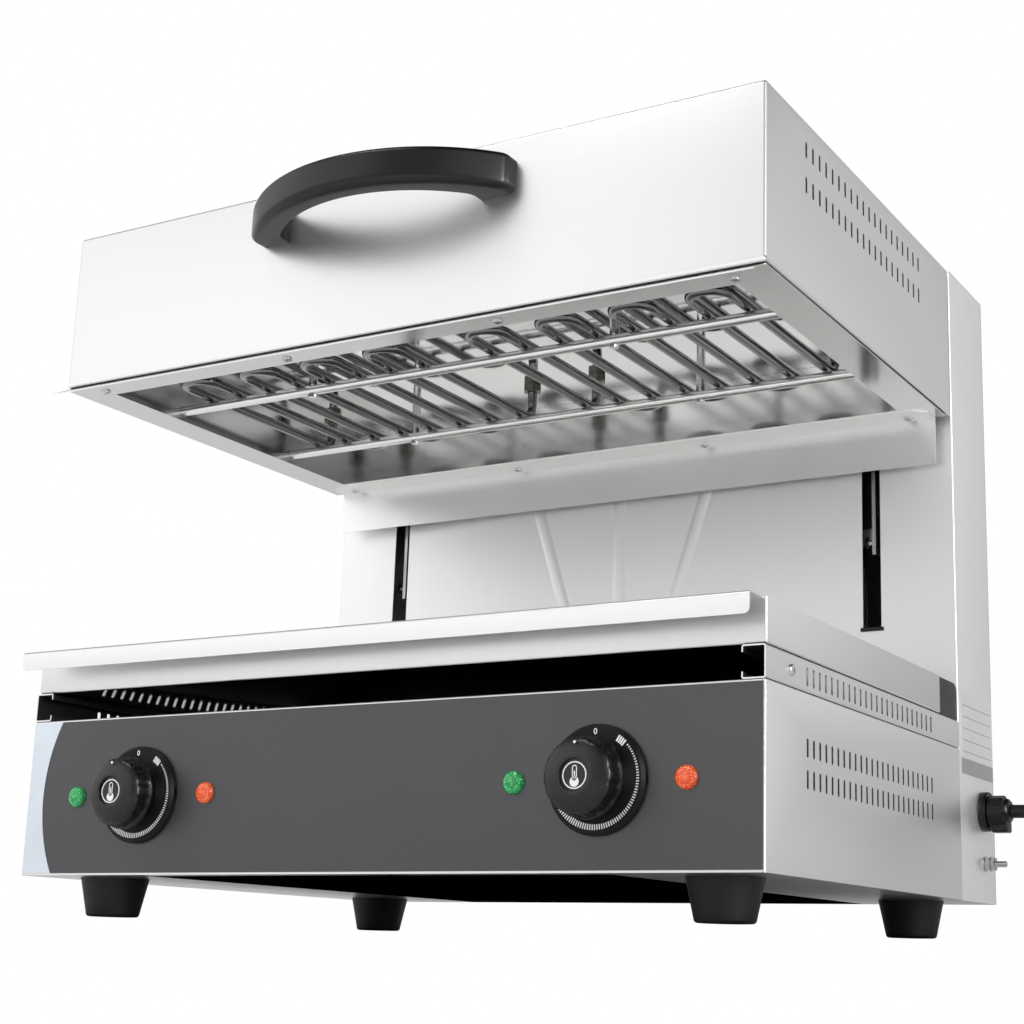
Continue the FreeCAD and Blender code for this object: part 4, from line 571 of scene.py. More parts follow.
# Ground coarser than the casing, upwards: paler, as it scatters a third of the light.
column_steel = steel_finish("stainless_steel_ground_upright", "F6F6F5", 0.4, (1.0, 1.0, 0.02), metal=0.65)
cuts = bmesh.new()
for side in (-1, 1):
    middle = side * SLOT_X
    prism(cuts, oblong(middle - SLOT_HALF, SLOT_LOW, middle + SLOT_HALF, SLOT_TOP), *FRONT_CUT, "y")
prism(cuts, oblong(-PASSAGE_HALF, -1, PASSAGE_HALF, PASSAGE_TOP), *FRONT_CUT, "y")
skin = folded_box(
    (-WIDTH / 2, BASE_DEPTH, 0), (WIDTH / 2, DEPTH - SHEET, COLUMN_TOP - SHEET),
    ("bottom", "top", "back"), COLUMN_BEND,
)
mesh = baked(skin, "column_sheet", THICKEN, cuts=cuts)
put("column_sheet", mesh, column_steel, "stand", ["column_wrap"])
RIB_WIDE = 13
RIB_FLANK = 4.5
RIB_PROUD = 1.15
RIB_LOW, RIB_TOP = 200, 478
# How far the outer two stand from the middle, at the bottom and at the top.
RIB_FOOT, RIB_HEAD = 38, 126.5
work = bmesh.new()
for side in (0, -1, 1):
    foot, head = side * RIB_FOOT, side * RIB_HEAD
    rows = []
    for inset, proud in ((0, 0), (RIB_FLANK, RIB_PROUD)):
        half = RIB_WIDE / 2 - inset
        slant = (head - foot) * inset / (RIB_TOP - RIB_LOW)
        low, top = RIB_LOW + inset, RIB_TOP - inset
        loop = [
            (foot + slant - half, low), (foot + slant + half, low),
            (head - slant + half, top), (head - slant - half, top),
        ]
        rows.append(placed(loop, BASE_DEPTH - proud, "y"))
    loft(work, rows)
bends = [e for e in work.edges if e.calc_face_angle(0) < 1]
bmesh.ops.bevel(work, geom=bends, offset=0.0008, segments=3, profile=0.5, affect="EDGES")
put("column_ribs", work, column_steel, "stand", angle=60)
dress(satin, "column_cap", ease=0.4)

# Rating label: a blank white polyester label on the column's right side, with ruled fields
# and a grey strip under it. Both are printed with a matt lacquer and glued on.
LABEL = (369, 108, 448.5, 160)
STRIP_TALL = 12
RULE_FROM, RULE_TO = 374, 444
RULE_TALL = 0.7
RULE_LEVELS = (113, 122, 131, 140, 149)
# How far foils and lacquer stand out of the sheet, and how deep they lie in it.
FOIL_PROUD = 0.2
RULE_PROUD = 0.22
FOIL_SUNK = 0.05
white_foil = plastic_finish("white_polyester_label", "FAFAFA", 0.4)
grey_foil = plastic_finish("grey_polyester_label", "B4B6B8", 0.45)
rules = [oblong(RULE_FROM, z, RULE_TO, z + RULE_TALL) for z in RULE_LEVELS]
strip_under = oblong(LABEL[0], LABEL[1] - STRIP_TALL, LABEL[2], LABEL[1])
for name, foil, shapes, proud in (
    ("rating_label", white_foil, [oblong(*LABEL)], FOIL_PROUD),
    ("label_strip", grey_foil, [strip_under], FOIL_PROUD),
    ("label_rules", grey_foil, rules, RULE_PROUD),
):
    work = bmesh.new()
    for shape in shapes:
        prism(work, shape, WIDTH / 2 - FOIL_SUNK, WIDTH / 2 + proud, "x")
    put(name, work, foil, "stand")

# Lift inside the column: two wire ropes run from the carriage over nylon pulleys to a cast
# counterweight, and four nylon blocks slide on ground rods that brackets hold.
# Hard chrome: a bright, sharp sheen with faint lines round the rod.
ground = steel_finish("hard_chromed_ground_steel", "D2D2D2", 0.12, (1, 1, 0.05), 0.001, 0.03)
dress(ground, "guide_rods", "pulley_axles", ease=0.3)
# Turned nylon: milky and satin; with graphite in it, near black.
dress(plastic_finish("natural_nylon", "D9D5C8", 0.42), "pulley_left", "pulley_right", ease=0.3)
dress(plastic_finish("graphite_filled_nylon", "161618", 0.45), "slide_blocks", ease=0.3)
# Twisted wires, 0.3 mm thick: fine dark bands, drawn 1.5 mm apart so that they show.
rope = steel_finish("galvanised_wire_rope", "9C9C9C", 0.4, (1, 1, 1), 0.0015, 0.14, 0.3)
dress(rope, "rope_bends", "ropes_front", "ropes_back")
# Sand-cast iron under matt black paint: the sand's grain still shows.
cast_iron = plastic_finish("cast_iron_black_paint", "26272A", 0.62, 0.0025, 0.0002)
dress(cast_iron, "counterweight", ease=1.0)

# Grill pan: a stainless tray, folded from one sheet, that lifts out or slides forward. Its
# front lip turns down, and the corners of the lip are cut round.
PAN_LOW = 135.3
PAN_TOP = 163.8
PAN_FRONT = 1.4
PAN_BACK = 321.4
LIP_REACH = 21
LIP_DROP = 14
LIP_HALF = 298
LIP_ROUND = 4
PAN_BEND = 1.6
# Its underside keeps the mill's smooth finish and mirrors the vents of the left channel; its dark colour
# is painted shade, for the shaded slot under the pan.
pan_underside_painted_shade = steel_finish("stainless_steel_mill_finish_painted_shade", "454442", 0.06, (1, 1, 1), 0.02)
skin = folded_box(
    (-WIDTH / 2, PAN_FRONT, PAN_LOW), (WIDTH / 2, PAN_BACK, PAN_TOP), ("top",), PAN_BEND
)
put(
    "pan_tray", baked(skin, "pan_tray", THICKEN), satin, "pan", ["grill_pan"],
    inside=(pan_underside_painted_shade, lambda middle, way: way.z < -0.9),
)
top = PAN_TOP - SHEET / 2
front = PAN_FRONT - LIP_REACH + SHEET / 2
low = PAN_TOP - LIP_DROP
work = bmesh.new()
bent = strip([(PAN_FRONT + 0.5, top), (front, top), (front, low)], SHEET, 1.0)
prism(work, bent, -LIP_HALF, LIP_HALF, "x")
cuts = bmesh.new()
for side in (-1, 1):
    inner = LIP_HALF - LIP_ROUND
    bite = [(LIP_HALF + 1, low - 1), (inner, low - 1)]
    for i in range(7):
        turn = math.pi / 12 * i
        bite.append((inner + LIP_ROUND * math.sin(turn), low + LIP_ROUND * (1 - math.cos(turn))))
    bite.append((LIP_HALF + 1, low + LIP_ROUND))
    prism(cuts, [(side * x, z) for x, z in bite], front - 3, front + 3, "y")
put("pan_lip", baked(work, "pan_lip", cuts=cuts), satin, "pan")

# Wire rack: steel wires spot welded across a round-bar frame on four short feet.
# Bright nickel plating, a little warm, over drawn wire.
dress(steel_finish("nickel_plated_wire", "CFCDC9", 0.16, (1, 1, 1), 0.002, 0.04), "wire_rack")

# Hood: one folded stainless sheet with two rows of slots in each side; its bottom edge is
# turned in, and the liner's flange hangs 3 mm below it, so a dark joint shows all round.
HOOD_HALF = 299.5
HOOD_LOW = 380.5
HOOD_DEPTH = 360.5
HOOD_BEND = 2.2
HOOD_FOLD = 20
HOOD_VENT_ROWS = (450.5, 476)
HOOD_VENT_START = 64.5
HOOD_VENT_PITCH = 11.8
HOOD_VENT_COUNT = 20
cuts = bmesh.new()
for row in HOOD_VENT_ROWS:
    vent_row(cuts, row, HOOD_VENT_START, HOOD_VENT_PITCH, HOOD_VENT_COUNT, -WIDTH, WIDTH)
skin = folded_box(
    (-HOOD_HALF, 0, HOOD_LOW), (HOOD_HALF, HOOD_DEPTH, COLUMN_TOP),
    ("bottom", "back"), HOOD_BEND, fold=HOOD_FOLD,
)
mesh = baked(skin, "hood_sheet", THICKEN, cuts=cuts)
put("hood_sheet", mesh, satin, "hood", ["hood_shell"])

# Liner and apron: folded stainless sheet. The liner is screwed up into the hood's turned
# edge, and the apron hangs behind it and hides the slots' upper ends.
# The liner keeps the mill's smooth finish, which mirrors the elements a little blurred.
mill = steel_finish("stainless_steel_mill_finish", "DCDCDB", 0.16, (0.03, 0.03, 1.0), 0.004)
dress(mill, "hood_liner", ease=0.3)
# The apron is ground like the column, but finer.
ground_apron = steel_finish("stainless_steel_apron_ground_satin", "F4F4F3", 0.3, metal=0.65)
dress(ground_apron, "apron", ease=0.3)

# Reflector and insulation: a folded tray of bright-annealed stainless above the heating
# tubes, which it mirrors, under a mat of pressed mineral wool that keeps the hood's top cool.
bright = steel_finish("stainless_steel_bright_annealed", "F2F2F1", 0.045, (0.2, 1.0, 1.0), 0.03)
dress(bright, "reflector")
dress(plastic_finish("pressed_mineral_wool", "C9C2AA", 0.9, 0.003, 0.0006), "insulation", ease=1.0)

# Heating tubes: smooth nickel alloy sheath, bent to and fro, on two bright bars that bolts
# hang from the hood. Ceramic beads insulate their ends above the reflector.
# Heat has darkened the sheath, but it is still shiny.
sheath = steel_finish("nickel_alloy_tube_heat_darkened", "4A4846", 0.14, (1, 1, 1), 0.03, 0.03, 0.0)
# A hard oxide skin shines most at the tubes' rims.
for name, value in (("Coat Weight", 1.0), ("Coat Roughness", 0.06), ("Coat IOR", 2.2)):
    sheath.node_tree.nodes["Principled BSDF"].inputs[name].default_value = value
dress(sheath, "element_left", "element_right")
# Bright zinc plating: pale bluish silver.
plated = steel_finish("zinc_plated_steel_bright", "D4D5D6", 0.17, (1, 1, 1), 0.003, 0.03)
dress(plated, "bar_bolts", "foot_screws", "hood_bolts", "spindle_left", "spindle_right")
# Drawn and polished stainless rod, with faint lines along it; glazed steatite, smooth and warm.
dress(steel_finish("stainless_rod_polished", "F0F0EF", 0.24, (0.05, 1, 1), 0.002), "support_bars")
dress(plastic_finish("glazed_steatite_grey", "6B6862", 0.2, 0.004, 0.00001), "element_terminals")

# Screws: pan heads with a cross recess, pressed from wire and zinc plated. They hold the
# liner's flange, the apron, the channels and the column's back.
HEAD_RADIUS = 3.8
HEAD_HEIGHT = 2.0
HEAD_STEPS = 6
# Shares of the head: its straight rim, half the length and half the width of the cross.
RIM = 0.35
CROSS_LONG, CROSS_THIN = 0.6, 0.13
# The cross by share of its width and level, from its floor up.
CROSS_ROWS = ((0.45, HEAD_HEIGHT * 0.25), (1, HEAD_HEIGHT + 1))


def cross_head():
    """A pan head whose seat is at zero and whose top points along +Z, with its cross recess cut."""
    work = bmesh.new()
    profile = [(HEAD_RADIUS, 0)]
    for i in range(HEAD_STEPS + 1):
        angle = math.pi / 12 * (HEAD_STEPS - i)
        radius = HEAD_RADIUS * math.sin(angle) ** 0.8 + 0.01
        profile.append((radius, HEAD_HEIGHT * (RIM + (1 - RIM) * math.cos(angle))))
    loft(work, [[Vector((x, y, z)) / 1000 for x, y in ring(0, 0, r, 20)] for r, z in profile])
    cross = bmesh.new()
    arm, half = HEAD_RADIUS * CROSS_LONG, HEAD_RADIUS * CROSS_THIN
    for wide, deep in ((arm, half), (half, arm)):
        rows = []
        for share, z in CROSS_ROWS:
            corners = oblong(-wide * share, -deep * share, wide * share, deep * share)
            rows.append([Vector((x, y, z)) / 1000 for x, y in corners])
        loft(cross, rows)
    return baked(work, "cross_head", cuts=cross)


head = cross_head()


def set_of_heads(name, places, body, stands_for):
    """Copies of the screw head, each at a place, with its top the given way and turned a little."""
    work = bmesh.new()
    for i, (place, toward) in enumerate(places):
        before = len(work.verts)
        work.from_mesh(head)
        work.verts.ensure_lookup_table()
        aim = Vector(toward).to_track_quat("Z", "Y")
        spin = math.radians(25 + 40 * i)
        for vert in work.verts[before:]:
            x, y, z = vert.co
            turned = (x * math.cos(spin) - y * math.sin(spin), x * math.sin(spin) + y * math.cos(spin), z)
            vert.co = aim @ Vector(turned) + spot(*place)
    put(name, work, plated, body, stands_for)


FLANGE_X = (92, 272)
# Depth and level of the screws in front and behind.
FLANGE_SEATS = ((14, 376), (341, 375))
CHANNEL_SCREW = (38.5, 124.5)
BACK_X = 294
BACK_LEVELS = (20, COLUMN_TOP / 3, 2 * COLUMN_TOP / 3, COLUMN_TOP - 24)
SIDES = (-1, 1)
flange = [((s * x, *seat), (0, 0, -1)) for s in SIDES for x in FLANGE_X for seat in FLANGE_SEATS]
set_of_heads("flange_screw_heads", flange, "hood", ["hood_screws"])
panels = [((s * WIDTH / 2, *CHANNEL_SCREW), (s, 0, 0)) for s in SIDES]
panels += [((s * BACK_X, DEPTH, z), (0, 1, 0)) for s in SIDES for z in BACK_LEVELS]
set_of_heads("panel_screw_heads", panels, "stand", ["panel_screws"])

# Carriage bolts: a zinc-plated hexagon bolt at the lower end of each carriage plate, seen
# through its slot. It clamps the slide block to the plate.
CARRIAGE_BOLT = (376, 284.5)
# Rounds of its head and its shank: radius, and distance to the left of the slot's middle.
BOLT_HEAD = ((5.2, 8.6), (5.8, 8.1), (5.8, 4.6))
BOLT_SHANK = ((2.9, 4.6), (2.9, 1.5))


def turned_on_x(work, middle, rounds, steps):
    """A body turned about an axis along x, from rounds of radius and place."""
    loft(work, [placed(ring(*middle, radius, steps), x, "x") for radius, x in rounds])


work = bmesh.new()
for side in SIDES:
    for rounds, steps in ((BOLT_HEAD, 6), (BOLT_SHANK, 20)):
        turned_on_x(work, CARRIAGE_BOLT, [(r, side * SLOT_X - x) for r, x in rounds], steps)
put("carriage_bolts", work, plated, "hood")

# Handle: a black glass-filled nylon bow, flat in front with well-rounded edges; two screws
# from inside the hood hold its feet.
# Each edge of the bow in plan: half its width, its rise, and the radius and seat of its corners.
BOW_OUTER = (112, 62.8, 8, 8.75)
BOW_INNER = (84, 47.4, 12, 7.2)
BOW_LEVEL = 474.2
BOW_HALF = 13.2
# Corner radii of its section: outer top, inner top, inner bottom, outer bottom.
BOW_ROUNDS = (4, 3, 1.2, 7)
BOW_STEPS = 120
# Moulded in a finely eroded tool: black with a soft sheen.
black_moulding = plastic_finish("black_glass_filled_nylon", "040405", 0.3, 0.0008, 0.000003, 0.42)


def rounded(half_wide, half_tall, radii, steps=5):
    """A rectangle's outline with round corners, each of its own radius."""
    points = []
    for radius, sx, sy, start in zip(radii, (1, -1, -1, 1), (1, 1, -1, -1), (0, 90, 180, 270)):
        for i in range(steps + 1):
            angle = math.radians(start + 90 * i / steps)
            u, v = sx * (half_wide - radius), sy * (half_tall - radius)
            points.append((u + radius * math.cos(angle), v + radius * math.sin(angle)))
    return points


def bow_edge(half, rise, radius, seat, count):
    """Points of one edge in plan: straight legs, round corners and an arc that joins them."""
    hub = half - radius
    sweep = (hub**2 + (rise - seat) ** 2 - radius**2) / (2 * (rise - seat - radius))
    end = math.atan2(hub, sweep - rise + seat)
    corner = radius * (math.pi / 2 - end)
    length = seat + corner + sweep * end
    points = []
    for i in range(count + 1):
        share = 2 * i / count - 1
        hand = math.copysign(1, share)
        gone = (1 - abs(share)) * length
        if gone < seat:
            points.append(Vector((hand * half, -gone)))
        elif gone < seat + corner:
            turn = (gone - seat) / radius
            out, down = radius * math.cos(turn), radius * math.sin(turn)
            points.append(Vector((hand * (hub + out), -seat - down)))
        else:
            turn = hand * (length - gone) / sweep
            points.append(Vector((sweep * math.sin(turn), sweep - rise - sweep * math.cos(turn))))
    return points


work = bmesh.new()
rings = []
for outer, inner in zip(bow_edge(*BOW_OUTER, BOW_STEPS), bow_edge(*BOW_INNER, BOW_STEPS)):
    middle = (outer + inner) / 2
    out = (outer - inner).normalized()
    section = rounded((outer - inner).length / 2, BOW_HALF, BOW_ROUNDS, 8)
    rings.append([spot(middle.x + out.x * u, middle.y + out.y * u, BOW_LEVEL + v) for u, v in section])
loft(work, rings)
put("bow_handle", work, black_moulding, "hood", ["handle"], 50)

# Knobs: satin phenolic caps with shallow finger flutes, on a smooth skirt; each has a sunk
# badge with a generic thermometer and a white dot that points to the scale.
KNOB_BACK = -5.9
KNOB_FACE = -31.9
BADGE = -30.4
FLUTES = 14
FLUTE_POINTS = 12
# Compression-moulded phenolic: hard black with a clean satin shine.
phenolic = plastic_finish("black_phenolic_moulding", "0B0B0C", 0.28, 0.0007, 0.000002, 0.5)
# Pad-printed ink: flat and even.
white_ink = plastic_finish("white_printing_ink", "E9E9E9", 0.5)
# Radius and place of each round of the cap, from its undercut back to the badge.
SKIRT = [
    (3.1, KNOB_BACK), (19, KNOB_BACK), (19.3, -9), (22.5, -12),
    (25, -14.2), (25.5, -15), (25.5, -16.4), (25.2, -17),
]
GRIP = [(24.6, -18.2), (24.3, -20), (24.0, -23), (23.8, -25), (23.6, -26.5)]
FACE = [
    (23.2, -27.5), (22.5, -28.4), (21, -29.3), (19, -30.1), (16, -30.9), (13, -31.5), (10.8, KNOB_FACE),
]
SINK = [(10.2, -31.7), (10, -31.2), (10, BADGE), (0.01, BADGE)]
# The white dot: its distance from the middle, radius, face and depth.
DOT_OUT, DOT_RADIUS, DOT_FACE, DOT_DEEP = 20, 0.9, -31, 0.42
# The badge's circle, and its thermometer: half width, foot and length of the stem and of the
# bore in it, level and radius of the bulb, half width and ends of the fluid.
CIRCLE = (8.4, 7.6)
STEM = (1.7, -3.4, 9.6)
BORE = (1.1, -2.8, 8.4)
BULB = (-3.9, 3.2)
FLUID = (0.4, -3, 2.6)


def clock(middle, radius, turn):
    """A point on the fascia at a clockwise angle from the top of a knob's middle."""
    angle = math.radians(turn)
    return (middle + radius * math.sin(angle), KNOB_LEVEL + radius * math.cos(angle))


def printed(work, loop, y, thick=0.04):
    prism(work, loop, y, y - thick, "y")


def printed_ring(work, outer, inner, y):
    for i in range(len(outer)):
        j = (i + 1) % len(outer)
        printed(work, [outer[i], outer[j], inner[j], inner[i]], y)


def printed_bar(work, middle, low, high, turn, wide, y):
    """A radial bar between two radii."""
    along = Vector(clock(0, 1, turn)) - Vector((0, KNOB_LEVEL))
    over = Vector((along.y, -along.x)) * wide / 2
    near, far = (Vector(clock(middle, radius, turn)) for radius in (low, high))
    printed(work, [near - over, near + over, far + over, far - over], y)


# How deep the flutes cut into each stretch of the cap.
BITES = ((SKIRT, 0.0), (GRIP, 0.5), (FACE[:2], 0.35), (FACE[2:], 0.0), (SINK, 0.0))
for name, side in (("left", -1), ("right", 1)):
    middle = side * KNOB_X
    work = bmesh.new()
    rings = []
    for group, bite in BITES:
        for radius, y in group:
            count = FLUTES * FLUTE_POINTS
            loop = []
            for i in range(count):
                turn = 360 * i / count
                cut = bite * max(0.0, math.cos(math.radians(FLUTES * turn))) ** 1.5
                loop.append(clock(middle, radius - cut, turn))
            rings.append(placed(loop, y, "y"))
    loft(work, rings)
    knob = "knob_" + name
    put("knob_cap_" + name, work, phenolic, knob, [knob], 45)
    marks = bmesh.new()
    printed(marks, ring(*clock(middle, DOT_OUT, 0), DOT_RADIUS, 16), DOT_FACE, DOT_DEEP)
    printed_ring(marks, *(ring(middle, KNOB_LEVEL, radius, 40) for radius in CIRCLE), BADGE)
    stem, bore = (
        round_slot(middle - half, KNOB_LEVEL + foot, 2 * half, tall, 8)
        for half, foot, tall in (STEM, BORE)
    )
    printed_ring(marks, stem, bore, BADGE)
    printed(marks, ring(middle, KNOB_LEVEL + BULB[0], BULB[1]), BADGE)
    half, low, top = FLUID
    printed(marks, oblong(middle - half, KNOB_LEVEL + low, middle + half, KNOB_LEVEL + top), BADGE)
    put("knob_print_" + name, marks, white_ink, knob)

# Scale rings: turned aluminium, anodised black, glued on the fascia, with a printed generic
# scale: a zero on top, a block of bars and then ticks that grow towards full heat.
RING_FACE = -5.6
ZERO_RADIUS = 29.6
# Half the width and half the height of the zero's outer and inner edge.
ZERO_EDGES = ((1.3, 1.9), (0.6, 1.2))
BAR_COUNT = 4
BAR_WIDE = 1.2
BAR_INNER, BAR_OUTER = 27.2, 31.6
BAR_START, BAR_PITCH = 33, 3.2
TICK_COUNT = 60
TICK_WIDE = 0.75
TICK_OUTER = 31.0
TICK_SHORT, TICK_GROWTH = 29.9, 3.4
TICK_START, TICK_SWEEP = 48, 192
turned = steel_finish("black_anodised_aluminium", "333335", 0.55, (1, 1, 1), 0.0012)
# Its fine turned grooves run round each knob and stretch the highlight across them.
tree = turned.node_tree
position = add_node(tree, "NewGeometry").outputs["Position"]
parts = add_node(tree, "SeparateXYZ", links={"Vector": position}).outputs
hand = add_node(tree, "Math", links={0: parts["X"]}, operation="SIGN")
centre = add_node(tree, "Math", {1: KNOB_X / 1000}, {0: hand}, operation="MULTIPLY")
away = add_node(tree, "Math", links={0: parts["X"], 1: centre}, operation="SUBTRACT")
level = spot(0, 0, KNOB_LEVEL).z
rise = add_node(tree, "Math", {1: level}, {0: parts["Z"]}, operation="SUBTRACT")
outwards = add_node(tree, "CombineXYZ", links={"X": away, "Z": rise})
shader = tree.nodes["Principled BSDF"]
connect(tree, shader, {"Tangent": outwards})
shader.inputs["Anisotropic"].default_value = 0.85
dress(turned, "dial_rings", ease=0.3)
marks = bmesh.new()
for side in SIDES:
    middle = side * KNOB_X
    zero = clock(middle, ZERO_RADIUS, 0)
    outer, inner = (
        [(zero[0] + half * u, zero[1] + tall * v) for u, v in ring(0, 0, 1, 20)]
        for half, tall in ZERO_EDGES
    )
    printed_ring(marks, outer, inner, RING_FACE)
    for i in range(BAR_COUNT):
        turn = BAR_START + BAR_PITCH * i
        printed_bar(marks, middle, BAR_INNER, BAR_OUTER, turn, BAR_WIDE, RING_FACE)
    for i in range(TICK_COUNT):
        share = i / (TICK_COUNT - 1)
        low, turn = TICK_SHORT - TICK_GROWTH * share, TICK_START + TICK_SWEEP * share
        printed_bar(marks, middle, low, TICK_OUTER, turn, TICK_WIDE, RING_FACE)
put("dial_scale_print", marks, white_ink, "stand")

# Pilot lamps: domed lenses of clear tinted plastic with small moulded prisms inside, that
# glow a little; cream barrels hold them behind the casing's front.


def lens_finish(name, dark, light, glow):
    """Tinted plastic with bright prism points in it. The real prisms are 1.3 mm wide."""
    made, tree, shader, place = new_finish(name)
    prisms = {"Scale": 1 / 0.0013, "Randomness": 0.5}
    cells = add_node(tree, "TexVoronoi", prisms, {"Vector": place})
    points = {"From Min": 0.55, "From Max": 0.15}
    dots = add_node(tree, "MapRange", points, {"Value": cells.outputs["Distance"]})
    ends = {"A": linear(dark), "B": linear(light)}
    shade = add_node(tree, "Mix", ends, {"Factor": dots}, data_type="RGBA").outputs["Result"]
    relief = {"Strength": 0.5, "Distance": 0.0003}
    bump = add_node(tree, "Bump", relief, {"Height": cells.outputs["Distance"]})
    connect(tree, shader, {"Base Color": shade, "Emission Color": shade, "Normal": bump})
    shader.inputs["Emission Strength"].default_value = glow
    shader.inputs["Roughness"].default_value = 0.15
    shader.inputs["Coat Weight"].default_value = 0.6
    return made


# Radius and place of each round: the neck in the sheet, the rim and the dome.
LENS = [(4.8, 1), (4.8, -0.6), (7.5, -0.6), (7.5, -1.6)]
DOME_RADIUS, DOME_RISE, DOME_SEAT = 7.3, 3.0, -2.0
for i in range(9):
    turn = math.pi / 16 * i
    LENS.append((DOME_RADIUS * math.cos(turn) + 0.01, DOME_SEAT - DOME_RISE * math.sin(turn)))
for tint, hand, glass in (
    ("green", -1, lens_finish("green_polycarbonate_prism", "007A34", "3DDB82", 0.1)),
    ("amber", 1, lens_finish("amber_polycarbonate_prism", "D23A08", "FF9450", 0.14)),
):
    work = bmesh.new()
    for side in SIDES:
        middle = side * KNOB_X + hand * PILOT_OFFSET
        loft(work, [placed(ring(middle, KNOB_LEVEL, radius, 32), y, "y") for radius, y in LENS])
    node = "pilot_lenses_" + tint
    put("pilot_domes_" + tint, work, glass, "stand", [node], 40)
# Compression-moulded thermoset: dull cream, a little cloudy. The regulators behind the knobs
# and the terminal block are of it too.
cream = plastic_finish("cream_thermoset_moulding", "CFC9BA", 0.4)
dress(cream, "regulators", "pilot_barrels", "terminal_block", ease=0.5)

# Cable gland: black nylon, with a flange on the column, a grip nut with ribs and a clamp
# below it that holds the cord.
GLAND = (420, 70.5)
# Rounds of radius and place along x: flange, cap, inner nut; the grip nut's also have the
# depth of its ten ribs.
FLANGE = (
    (9.9, 288), (9.9, 299.9), (15, 300), (15.5, 300.6), (15.5, 305), (15, 305.8), (12.4, 306),
)
CAP = ((10.4, 318.8), (9.6, 321), (7.4, 322.8), (5.4, 323), (5.3, 322))
INNER_NUT = ((14, 293), (14, 299))
GRIP_NUT = (
    (11.6, 0.2, 305.8), (12.4, 0.5, 306.6), (12.5, 1.1, 308), (12.5, 1.1, 317), (12.2, 0.8, 318),
    (10.4, 0.1, 319),
)
# The clamp below: share of its full section, and place.
CLAMP = ((0.86, 308), (1, 308.8), (1, 320.2), (0.86, 321))
CLAMP_DROP = 11.4


def ribbed(middle, radius, depth, count, steps=6):
    """A ring whose edge is pressed in between count ribs."""
    points = []
    for i in range(count * steps):
        angle = 2 * math.pi * i / (count * steps)
        r = radius - depth * (0.5 + 0.5 * math.cos(count * angle))
        points.append((middle[0] + r * math.cos(angle), middle[1] + r * math.sin(angle)))
    return points


work = bmesh.new()
turned_on_x(work, GLAND, FLANGE, 40)
loft(work, [placed(ribbed(GLAND, radius, depth, 10), x, "x") for radius, depth, x in GRIP_NUT])
turned_on_x(work, GLAND, CAP, 30)
turned_on_x(work, GLAND, INNER_NUT, 6)
rows = []
for scale, x in CLAMP:
    section = rounded(6.2, 5.0, (1.6,) * 4)
    loop = [(GLAND[0] + u * scale, GLAND[1] - CLAMP_DROP + v * scale) for u, v in section]
    rows.append(placed(loop, x, "x"))
loft(work, rows)
put("gland_moulding", work, black_moulding, "stand", ["cable_gland"], 40)

# Earth terminal: a zinc-plated stud through the column's side, for a bonding lead. Two
# hexagon nuts with washers sit on it outside, and one nut inside.
EARTH = (421.5, 30)
# Rounds of a hexagon nut, from its start; its edges are turned off.
NUT = ((5.2, 0), (5.7, 0.4), (5.7, 3.0), (5.2, 3.4))
WASHER_THICK = 0.9
# Radius and place of the stud's ends; the thread between them is of rings, two steps apart.
STUD_BACK, STUD_TIP = (2.4, 293), (2.1, 317.4)
STUD_RADIUS, THREAD_FROM, STEP = 2.5, 305, 0.4
work = bmesh.new()
thread = [(STUD_RADIUS - STEP * (i % 2), THREAD_FROM + STEP * i) for i in range(31)]
turned_on_x(work, EARTH, [STUD_BACK, *thread, STUD_TIP], 20)
for start in (300.9, 305.5):
    turned_on_x(work, EARTH, [(radius, start + x) for radius, x in NUT], 6)
for start, radius in ((300, 6.0), (304.4, 5.6)):
    turned_on_x(work, EARTH, ((radius, start), (radius, start + WASHER_THICK)), 24)
turned_on_x(work, EARTH, ((4.6, 295), (4.6, 299)), 6)
put("earth_stud_and_nuts", work, plated, "stand", ["earth_terminal"], 25)

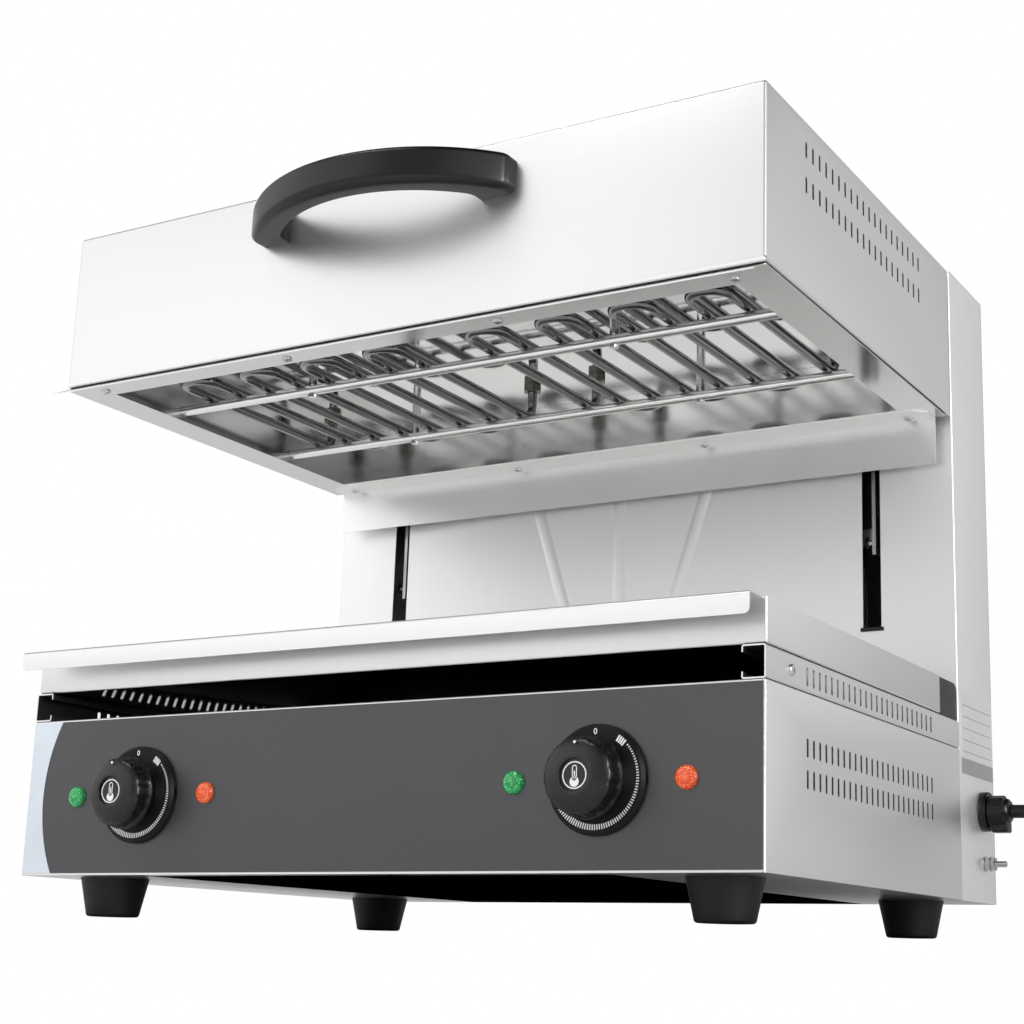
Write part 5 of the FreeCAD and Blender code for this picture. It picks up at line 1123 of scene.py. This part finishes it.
# Mains cord: rubber-sheathed three-core cable from the gland down to the worktop.
# What the view leaves out is put away in a neat coil beside the casing.
CORD_THICK = 0.0104
GLAND_MOUTH = Vector((0.323, 0.1955, 0.0985))
COIL_MIDDLE = Vector((0.5184, 0.127, 0))
COIL_TURNS = 4.5
COIL_OUT = 0.0685
COIL_STEP = 0.011
# The lower layer winds inwards for half of the turns, and the upper one back outwards.
LAYER_TURNS = COIL_TURNS / 2
TURN_POINTS = 16
# Points of the spline stand this much further out than the line it makes.
STRETCH = 1.0095
route = [
    GLAND_MOUTH + Vector((out, along, -drop))
    for out, along, drop in (
        (0, 0, 0), (0.029, 0, 0), (0.065, -0.002, 0.01213), (0.09, -0.003, 0.04199),
        (0.113, -0.002, 0.07464), (0.147, 0, 0.0933), (0.185, 0, 0.0933),
    )
]
for i in range(1, int(COIL_TURNS * TURN_POINTS) + 1):
    turn = i / TURN_POINTS
    away = COIL_OUT - COIL_STEP * min(turn, LAYER_TURNS) + COIL_STEP * max(0.0, turn - LAYER_TURNS)
    rise = min(1.0, max(0.0, (turn - 2) / 0.5))
    angle = math.pi / 2 - 2 * math.pi * turn
    level = CORD_THICK / 2 + COIL_STEP * rise * rise * (3 - 2 * rise)
    route.append(
        COIL_MIDDLE + Vector((away * STRETCH * math.cos(angle), away * STRETCH * math.sin(angle), level))
    )
last = route[-1]
for out, along in ((-0.022, -0.004), (-0.036, -0.0135), (-0.0434, -0.0197)):
    route.append(last + Vector((out, along, 0)))

line = bpy.data.curves.new("mains_cord", "CURVE")
line.dimensions = "3D"
spline = line.splines.new("NURBS")
spline.points.add(len(route) - 1)
for point, place in zip(spline.points, route):
    point.co = (*place, 1)
spline.order_u = 3
spline.use_endpoint_u = True
spline.resolution_u = 6
line.bevel_depth = CORD_THICK / 2
line.bevel_resolution = 5
line.use_fill_caps = True
line.materials.append(rubber)
cord = bpy.data.objects.new("mains_cord", line)
scene.collection.objects.link(cord)
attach(cord, "stand")
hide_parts("power_cord", "cord_coil")

scene.view_settings.view_transform = "Standard"
